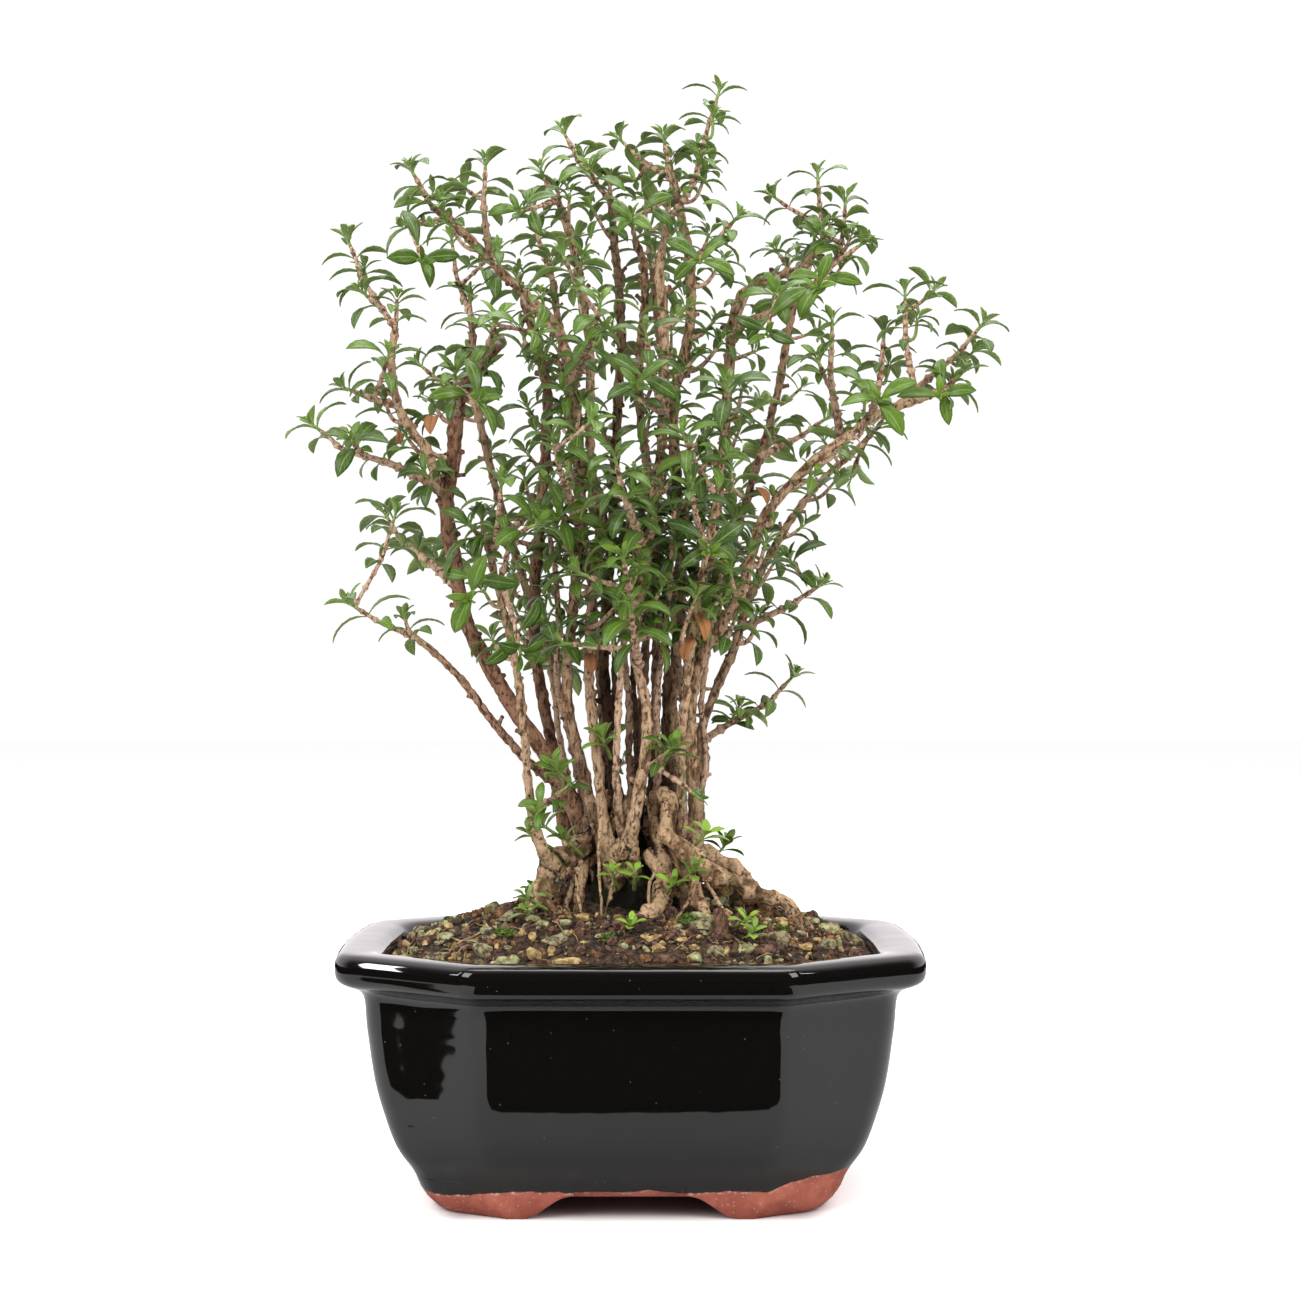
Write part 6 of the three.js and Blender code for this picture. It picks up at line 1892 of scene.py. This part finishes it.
def add_twig(shell, line, radii, green=3.6):
    """A fine twig along the solid one: leaf scars lower down, and a green tip."""
    path, index, run = smooth_path(line, TWIG_FINE_STEP)
    size = np.interp(index, np.arange(len(line)), radii)
    below = run[-1] - run
    size = size * np.interp(below, [0, 4, 30], [0.62, 0.8, 1.0])
    count = below / SCAR_SPACING + 0.45 * lumps(path, 5.5, 2)
    away = np.abs(count - np.round(count)) * SCAR_SPACING
    scar = 0.55 * np.exp(-((away / 0.55) ** 2)) * np.interp(below, [0, 4, 14], [0, 0.7, 1])
    turns = around(TWIG_ROUND_SIDES)
    pair = 0.8 + 0.6 * np.cos(2 * (turns[None] + (np.round(count) % 2 * QUARTER)[:, None]))
    proud = scar[:, None] * pair + 0.12 * lumps(path, 1.8, 8)[:, None]
    rings = size[:, None] * (1 + proud)
    proud += 0.2 * lumps(np.stack([below, 3.3 * below, 0 * below], axis=1), 1.0, 6)[:, None]
    dark = np.clip(0.9 * lumps(path, 26, 3), 0, 0.8)
    split = int(np.clip(np.searchsorted(-below, -green), 2, len(path) - 3))
    add_tube(shell, path[: split + 1], rings[: split + 1], TWIG_ROUND_SIDES, BARK_FINISH,
             relief=(proud[: split + 1] - 0.14) * 3.6, shade=dark[: split + 1])
    add_tube(shell, path[split:], rings[split:], TWIG_ROUND_SIDES, SHOOT_FINISH)
    return path, run, size


def add_tip_leaves(shell, spot, spin, draw, scale, tone):
    """The small upright leaves at a shoot's end."""
    for level, (length, rise, lift) in enumerate(TIP_LEAVES):
        add_pair(shell, ahead_of(spot, lift), spin + level % 2 * QUARTER, scale * length, rise,
                 tone + 0.1 * level, draw, spread=5, keep=0.96, bend=50)


def add_mini_shoot(shell, spot, turn, draw, tone):
    """A short side shoot with a rosette of its own."""
    root, facing = spot.point, spoke(spot.side, spot.other, turn)
    way = unit(0.55 * facing + 0.35 * spot.along + 0.5 * UP + 0.12 * draw.normal(size=3))
    reach = draw.uniform(4.5, 8.5)
    spots = [root, root + 0.4 * reach * unit(facing + 0.5 * way), root + reach * way]
    path, _, run = smooth_path(spots, 1.2)
    add_tube(shell, path, np.linspace(0.55, 0.4, len(path)), 6, SHOOT_FINISH)
    tip = Twig(path, run).spot(0, 0.4)._replace(along=way)
    spin = draw.uniform(0, math.pi)
    add_pair(shell, tip._replace(point=path[-2]), spin, draw.uniform(8.5, 11.5), 34, tone, draw)
    add_pair(shell, tip, spin + QUARTER, draw.uniform(7, 9.5), 50, tone + 0.1, draw)
    add_tip_leaves(shell, ahead_of(tip, 0.3)._replace(radius=0.35), spin, draw, 0.8, tone + 0.25)


def leaf_scale(height):
    """Leaves are large in the shade low down, and small at the top and on the low tufts."""
    return np.interp(height, *LEAF_SCALES)


def dress_shoot(shell, node, shoot, seed, draw):
    """One shoot of a spray: its twig, the solid's own leaves, and more pairs down the twig."""
    line, radii = shoot_line(shoot)
    if NODE_TREES[node].find(line[-1])[2] > LEAF_TIP_MATCH:
        return
    path, run, size = add_twig(shell, line, radii)
    twig = Twig(path, run)
    tone = draw.uniform(0.0, 0.55)
    spin, leaves = found_leaves(node, line, radii, seed)
    scale = leaf_scale(line[-1][2])
    for leaf in leaves:
        leaf["length"] *= min(1, scale)
        width = leaf["length"] / draw.uniform(2.6, 3.1)
        add_leaf(shell, leaf, leaf["place"], width, tone + 0.1 * draw.normal(), draw)
    start_turn = spin + math.pi / 4
    below = LEAF_BANDS[0]["below"] + PAIR_SPACING
    level = 1
    while below < min(run[-1] * LOWEST_PAIR_SHARE, LOWEST_PAIR):
        spot = twig.spot(below, size)
        turn = start_turn + level * QUARTER
        length = scale * draw.uniform(8.6, 12.2) * np.interp(below, [8, LOWEST_PAIR], [1.0, 0.82])
        add_pair(shell, spot, turn, length, 22, tone - 0.08, draw, keep=np.interp(below, *PAIR_CHANCE))
        if level % 2 == 0 and draw.random() < MINI_SHOOT_CHANCE:
            add_mini_shoot(shell, spot, turn + 1.2, draw, tone + 0.1)
        below += PAIR_SPACING * draw.uniform(0.85, 1.2)
        level += 1
    add_tip_leaves(shell, ahead_of(twig.spot(0, size), -0.4), start_turn, draw, scale, tone + 0.3)


def make_foliage():
    draw = np.random.default_rng(101)
    for number, (name, shoots) in enumerate(SPRAYS):
        shell = Shell()
        for k, shoot in enumerate(shoots):
            dress_shoot(shell, name, shoot, LEAF_SEED + LEAF_SEED_STEP * number + k, draw)
        shell.piece(f"foliage_{name}", FOLIAGE, [name])


TUFTS = [  # x, y, z, number of leaves, their length, tone
    [-19, -14, 116, 7, 8, 0.0], [10.6, -16, 122, 8, 8, 0.1], [-7, -10, 124, 7, 8, 0.2],
    [-23.6, -16, 102, 8, 7, 0.0], [-27, -15, 99, 6, 6, 0.0], [-17, -12, 97, 6, 6, 0.1],
    [19, -14, 98, 6, 7, 0.9], [-4.6, -20, 88, 5, 5, 0.5], [1, -22, 88, 5, 5, 0.6],
    [16, -20, 89, 7, 6, 0.2], [10.6, -22, 85.5, 6, 6, 0.3], [0, -33, 76, 6, 5, 0.7],
    [-27, -22, 82, 6, 6, 0.1], [-27, -22, 78, 5, 5, 0.3], [31.5, -30, 73.5, 5, 5, 0.8],
    [30, -30, 77, 6, 5, 0.6], [-14, 24, 100, 7, 7, 0.2], [26, 22, 92, 7, 7, 0.3],
    [6, 34, 84, 6, 6, 0.4], [-28, 30, 78, 5, 5, 0.6],
]
INNER_SHOOT_PIECES = 4
INNER_SHOOT_REACH = 66
INNER_SHOOT_FLOOR = {
    "cut_stem": 190, "straight_left_stem": 175, "leaning_right_stem": 145, "pale_left_stem": 140,
}
DEAD_LEAVES = [  # x, y, z, length, heading in degrees
    [17, -14, 161, 12, -60], [19, -13, 154, 11, -130], [20, -12, 166, 9, -20],
    [-54, -14, 215, 10, -100], [-66, -12, 212, 7, -60], [34, -16, 196, 8, -40], [-12, -14, 150, 9, -80],
]
FINE_STEMS = [
    [[-2, -9, 96], [-4, -13, 112], [-3.5, -14, 136], [-1, -12, 160], [2, -10, 184]],
    [[1, -8, 98], [-0.5, -3, 118], [-0.8, 0, 136], [-3, 4, 165], [0, 6, 196]],
    [[6, -5, 98], [7.5, -8, 118], [7, -9, 136], [10, -6, 160], [12, -8, 190]],
    [[12, -4, 98], [14, -2, 116], [14.6, -1, 136], [12, 2, 164], [17, 0, 200]],
    [[16, -3, 98], [21, 0, 118], [20, 3, 136], [23, 4, 158], [27, 0, 182]],
    [[-12, -2, 98], [-15, 3, 118], [-21, 2, 140], [-21, 0, 166], [-24, -2, 190]],
    [[-14, 8, 98], [-20, 14, 120], [-24, 18, 146], [-30, 20, 176]],
    [[10, 14, 98], [14, 30, 130], [24, 30, 160], [30, 34, 190]],
    [[-5, 5, 96], [-6, 8, 120], [-5, 12, 150], [-8, 15, 192]],
    [[1, 7, 96], [1.5, 11, 120], [0.5, 14, 150], [3, 12, 198]],
    [[8, 8, 96], [9, 12, 120], [10, 15, 150], [8, 14, 188]],
    [[13, 6, 96], [15.5, 10, 120], [16, 14, 150], [21, 12, 194]],
]
FIRST_SHADED_FINE_STEM = 8  # from this one on they stand inside the bunch, and get painted shade
STEM_TIPS = {  # how far above the stem's end its last leaves stand
    "low_left_limb": 7, "high_left_limb": 8, "pale_left_stem": 7, "straight_left_stem": 8,
    "crooked_stem": 5, "front_left_stem": 6, "middle_stem": 6, "forked_stem": 6, "inner_stem": 6,
    "tall_stem": 6, "front_right_stem": 6, "leaning_right_stem": 5, "low_right_stem": 6,
    "high_right_stem": 5, "high_right_limb": 6, "back_left_stem": 7, "back_middle_stem": 7,
    "back_right_stem": 7, "back_far_left_stem": 7,
}


def make_tufts():
    """Small leafy tufts at the root crown, and seedlings in the soil."""
    draw = np.random.default_rng(211)
    shell = Shell()
    for x, y, z, count, length, tone in TUFTS:
        root = np.array([x, y, z], float)
        out = unit(np.array([x, y, 0.0]) + [0, 0, 9])
        tip = root + 3.2 * unit(1.6 * out + UP)
        path, _, _ = smooth_path([[0.82 * x, 0.72 * y + 1, z - 3.5], root, tip], 1.0)
        add_tube(shell, path, np.linspace(0.6, 0.35, len(path)), 6, SHOOT_FINISH)
        along = unit(path[-1] - path[-2])
        side = unit(np.cross(along, [0.31, 0.95, 0.05]))
        top = Spot(path[-1], along, side, np.cross(along, side), 0.4)
        spin = draw.uniform(0, math.pi)
        for level in range((count + 1) // 2):
            size = length * np.interp(level, [0, count / 2], [1.0, 0.62])
            here = ahead_of(top, -(0.9 * (count / 2 - level) - 0.6))
            add_pair(shell, here, spin + level * QUARTER, size, 34 + 14 * level, tone + 0.75, draw, bend=42,
                     slim=(1.95, 2.3))
    shell.piece("crown_tufts", FOLIAGE)


def make_stem_tips():
    """The stems run on past their solid ends as thin leafy shoots."""
    draw = np.random.default_rng(307)
    shell = Shell()
    for name, reach in STEM_TIPS.items():
        before, end = np.array(STEMS[name]["route"][-2:], float)
        way = unit(end - before)
        spots = [end - 2.5 * way, end + 0.45 * reach * way, end + reach * unit(way + 0.5 * UP)]
        path, _, run = smooth_path(spots, 1.2)
        add_tube(shell, path, np.linspace(STEMS[name]["radii"][1] * 0.92, 0.45, len(path)), 8, BARK_FINISH)
        twig = Twig(path, run)
        spin = draw.uniform(0, math.pi)
        tone = draw.uniform(0, 0.5)
        for level, below in enumerate(STEM_END_PAIRS):
            add_pair(shell, twig.spot(below, 0.45), spin + level * QUARTER, draw.uniform(9.5, 12),
                     26 + 12 * level, tone, draw)
        add_tip_leaves(shell, twig.spot(0, 0.4), spin, draw, 0.9, tone + 0.3)
    shell.piece("stem_end_leaves", FOLIAGE)


def add_inner_shoot(shell, start, out, radius, reach, draw):
    """A short leafy shoot that leaves a stem sideways and turns up."""
    way = unit(0.75 * out + 0.6 * UP + 0.2 * draw.normal(size=3))
    spots = [start, start + 0.4 * reach * unit(out + 0.25 * UP), start + reach * way]
    path, _, run = smooth_path(spots, 1.3)
    size = np.linspace(min(0.9, 0.6 * radius), 0.42, len(path))
    split = max(2, len(path) - 3)
    add_tube(shell, path[: split + 1], size[: split + 1], 7, BARK_FINISH)
    add_tube(shell, path[split:], size[split:], 7, SHOOT_FINISH)
    twig = Twig(path, run)
    spin = draw.uniform(0, math.pi)
    scale = leaf_scale(path[-1][2])
    tone = draw.uniform(0, 0.5)
    below = 1.0
    for level, (rise, keep) in enumerate(((40, 1), (26, 1), (14, 0.8), (8, 0.5))):
        if below >= run[-1] - 3:
            break
        add_pair(shell, twig.spot(below, 0.4), spin + level * QUARTER, scale * draw.uniform(8.5, 12), rise,
                 tone, draw, keep=keep)
        below += draw.uniform(3, 4.5)
    add_tip_leaves(shell, twig.spot(0, 0.38), spin + QUARTER, draw, 0.9 * scale, tone + 0.3)


def make_inner_shoots():
    """Short leafy shoots along the stems, which fill the inside of the canopy."""
    draw = np.random.default_rng(503)
    for part in range(INNER_SHOOT_PIECES):
        shell = Shell()
        for name, stem in list(STEMS.items())[part::INNER_SHOOT_PIECES]:
            path, radii, run = stem_path(stem, 2.0)
            lowest = INNER_SHOOT_FLOOR.get(name, 150)
            at = run[np.argmax(path[:, 2] > lowest)] + draw.uniform(0, 8)
            while at < run[-1] - 5:
                point = point_at(path, run, at)
                front = point[1] < 10
                at += draw.uniform(8, 15) if front else draw.uniform(13, 24)
                if abs(point[0]) > INNER_SHOOT_REACH:
                    continue
                away = unit(np.array([point[0], point[1] - 6, 0.0]) + [0, -6 if front else 3, 0])
                away = turned(away, UP, draw.normal() * 0.75)
                add_inner_shoot(shell, point, away, np.interp(at, run, radii), draw.uniform(7, 17), draw)
        shell.piece(f"inner_shoots_{part + 1}", FOLIAGE)


def make_fine_stems():
    """Thin young stems that rise from the crown between the thick ones."""
    draw = np.random.default_rng(607)
    shell = Shell()
    for number, route in enumerate(FINE_STEMS):
        stem = {"radii": [draw.uniform(1.3, 1.7), 0.75], "route": route}
        painted_shade = 0.8 if number >= FIRST_SHADED_FINE_STEM else 0.1
        add_stem(shell, stem, number + 40, 0.3 * draw.random(), painted_shade, draw, FINE_STEM_STEP,
                 FINE_STEM_SIDES)
        path, _, run = smooth_path(route, STEM_STEP)
        twig = Twig(path, run)
        spin = draw.uniform(0, math.pi)
        tone = draw.uniform(0, 0.5)
        for level, below in enumerate(FINE_STEM_PAIRS):
            spot, turn = twig.spot(below, 0.8), spin + level * QUARTER
            if below < 12:
                add_pair(shell, spot, turn, draw.uniform(9, 12), 34 - 8 * level, tone, draw)
            else:
                add_mini_shoot(shell, spot, turn, draw, tone)
        add_tip_leaves(shell, twig.spot(0, 0.5), spin, draw, 1.0, tone + 0.3)
    shell.piece("fine_stems", FOLIAGE)


def make_dead_leaves():
    """Brown curled leaves that have caught among the twigs."""
    draw = np.random.default_rng(401)
    shell = Shell()
    for x, y, z, length, heading in DEAD_LEAVES:
        turn = math.radians(heading)
        facing = np.array([math.cos(turn), math.sin(turn), -0.4])
        along = unit(UP + 0.6 * draw.normal(size=3))
        place = leaf_place(np.array([x, y, z], float), along, unit(facing), 0.4)
        leaf = {"rise": math.radians(10), "bend": math.radians(150), "length": length}
        add_leaf(shell, leaf, place, length / 2.4, draw.uniform(0.2, 0.9), draw, (DEAD_FINISH, DEAD_FINISH))
    shell.piece("dead_leaves", FOLIAGE)


# ---------------- camera, floor and light


def shifted(place):
    """A place given from the pot's middle, in metres from the middle of the whole outline."""
    return [(value - middle) * MM for value, middle in zip(place, OUTLINE_MIDDLE)]


def add_camera():
    data = bpy.data.cameras.new("camera")
    data.lens = CAMERA_LENS
    data.sensor_width = CAMERA_SENSOR
    data.clip_start = 0.01
    data.clip_end = 20
    camera = placed("camera", data)
    camera.location = shifted(CAMERA_PLACE)
    camera.rotation_euler = (QUARTER, 0, 0)
    bpy.context.scene.camera = camera


def oblong(left, right, near, far):
    return [(left, near), (right, near), (right, far), (left, far)]


def flat_card(name, corners, height, material):
    """A card between its corners, level where they have no heights of their own."""
    mesh = bpy.data.meshes.new(name)
    spots = [shifted((*corner, height)[:3]) for corner in corners]
    mesh.from_pydata(spots, [], [range(len(corners))])
    mesh.materials.append(material)
    card = placed(name, mesh)
    return card


def add_floor():
    material, graph, surface = new_material("white_table", Roughness=1.0, Specular_IOR_Level=0.0)
    seen = graph.node("LightPath").outputs["Is Camera Ray"]
    gain = graph.between(seen, 0, 1, FLOOR_BOUNCE, FLOOR_GAIN)
    x, y = graph.apart(graph.place())[:2]
    aside, away = graph.math("ABSOLUTE", x), graph.math("ABSOLUTE", y)
    # Painted shadow: the floor's colour drops to FLOOR_SHADE right under the pot.
    under = graph.times(graph.between(aside, 58, 44), graph.between(away, 50, 32))
    graph.feed(surface["Base Color"], graph.blend(under, graph.grey(gain), FLOOR_SHADE))
    flat_card("white_table", oblong(-FLOOR_HALF, FLOOR_HALF, -FLOOR_HALF, FLOOR_HALF), 0, material)


def add_mirrored_cards():
    """Dark surroundings and one small bright card that only the glaze mirrors."""
    material, _, surface = new_material("dark_surroundings", Roughness=1.0, Specular_IOR_Level=0.0)
    surface["Base Color"].default_value = (0.004, 0.004, 0.004, 1)
    bright, _, surface = new_material("bright_card", Emission_Strength=BRIGHT_CARD_GLOW)
    surface["Emission Color"].default_value = (1, 1, 1, 1)
    near, far = DARK_ROOM
    cards = {**DARK_CARDS, "dark_front": oblong(-far, far, -near, -far),
             "dark_left": oblong(-far, -near, -near, near), "dark_right": oblong(near, far, -near, near),
             "dark_back": oblong(-far, far, near, far)}
    mirrored = [flat_card(name, corners, 0.6, material) for name, corners in cards.items()]
    mirrored.append(flat_card("bright_card", BRIGHT_CARD, 0, bright))
    for card in mirrored:
        card.visible_camera = False
        card.visible_diffuse = False
        card.visible_transmission = False
        card.visible_shadow = False


def add_lights():
    world = bpy.data.worlds.new("studio")
    bpy.context.scene.world = world
    world.use_nodes = True
    graph = Graph(world.node_tree)
    background = world.node_tree.nodes["Background"]
    rays = graph.node("LightPath").outputs
    way = graph.apart(graph.node("TexCoord").outputs["Generated"])
    mirrored = graph.between(way[1], -0.25, 0.35, DARK_ROOM_LIGHT, BRIGHT_SIDE_LIGHT)
    overhead = graph.between(way[2], 0.7, 0.95)
    mirrored = graph.most(mirrored, graph.times(overhead, 0.5))
    glossy = rays["Is Glossy Ray"]
    plain = graph.scaled(rays["Is Camera Ray"], BACKDROP_GAIN - WORLD_LIGHT, WORLD_LIGHT)
    strength = graph.times(plain, graph.math("SUBTRACT", 1.0, glossy))
    strength = graph.scaled(mirrored, glossy, strength)
    graph.feed(background.inputs["Strength"], strength)
    graph.feed(background.inputs["Color"], graph.blend(glossy, (1, 1, 1, 1), MIRRORED_TINT))
    for name, (place, aim, width, height, watts) in SOFTBOXES.items():
        data = bpy.data.lights.new(name, "AREA")
        data.shape = "RECTANGLE"
        data.size = width * MM
        data.size_y = height * MM
        data.energy = watts
        light = placed(name, data)
        light.location = shifted(place)
        way = Vector(np.array(aim, float) - np.array(place, float))
        light.rotation_euler = way.to_track_quat("-Z", "Y").to_euler()
    bpy.context.scene.view_settings.view_transform = "Standard"


def dress_screens():
    for name in ("drain_screen_left", "drain_screen_right"):
        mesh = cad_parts[name].data
        mesh.materials.clear()
        mesh.materials.append(FINISHES["screen"])


# ---------------- making everything

add_camera()
add_floor()
add_mirrored_cards()
add_lights()
SPRAYS = plan_sprays()
NODE_TREES = {name: tree_of(given_points(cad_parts[name].data)) for name, _ in SPRAYS}
make_pot()
make_soil()
make_stones()
make_fibres()
make_moss()
make_stub()
make_rootlets()
make_crown()
make_stems()
make_foliage()
make_tufts()
make_stem_tips()
make_inner_shoots()
make_fine_stems()
make_dead_leaves()
dress_screens()
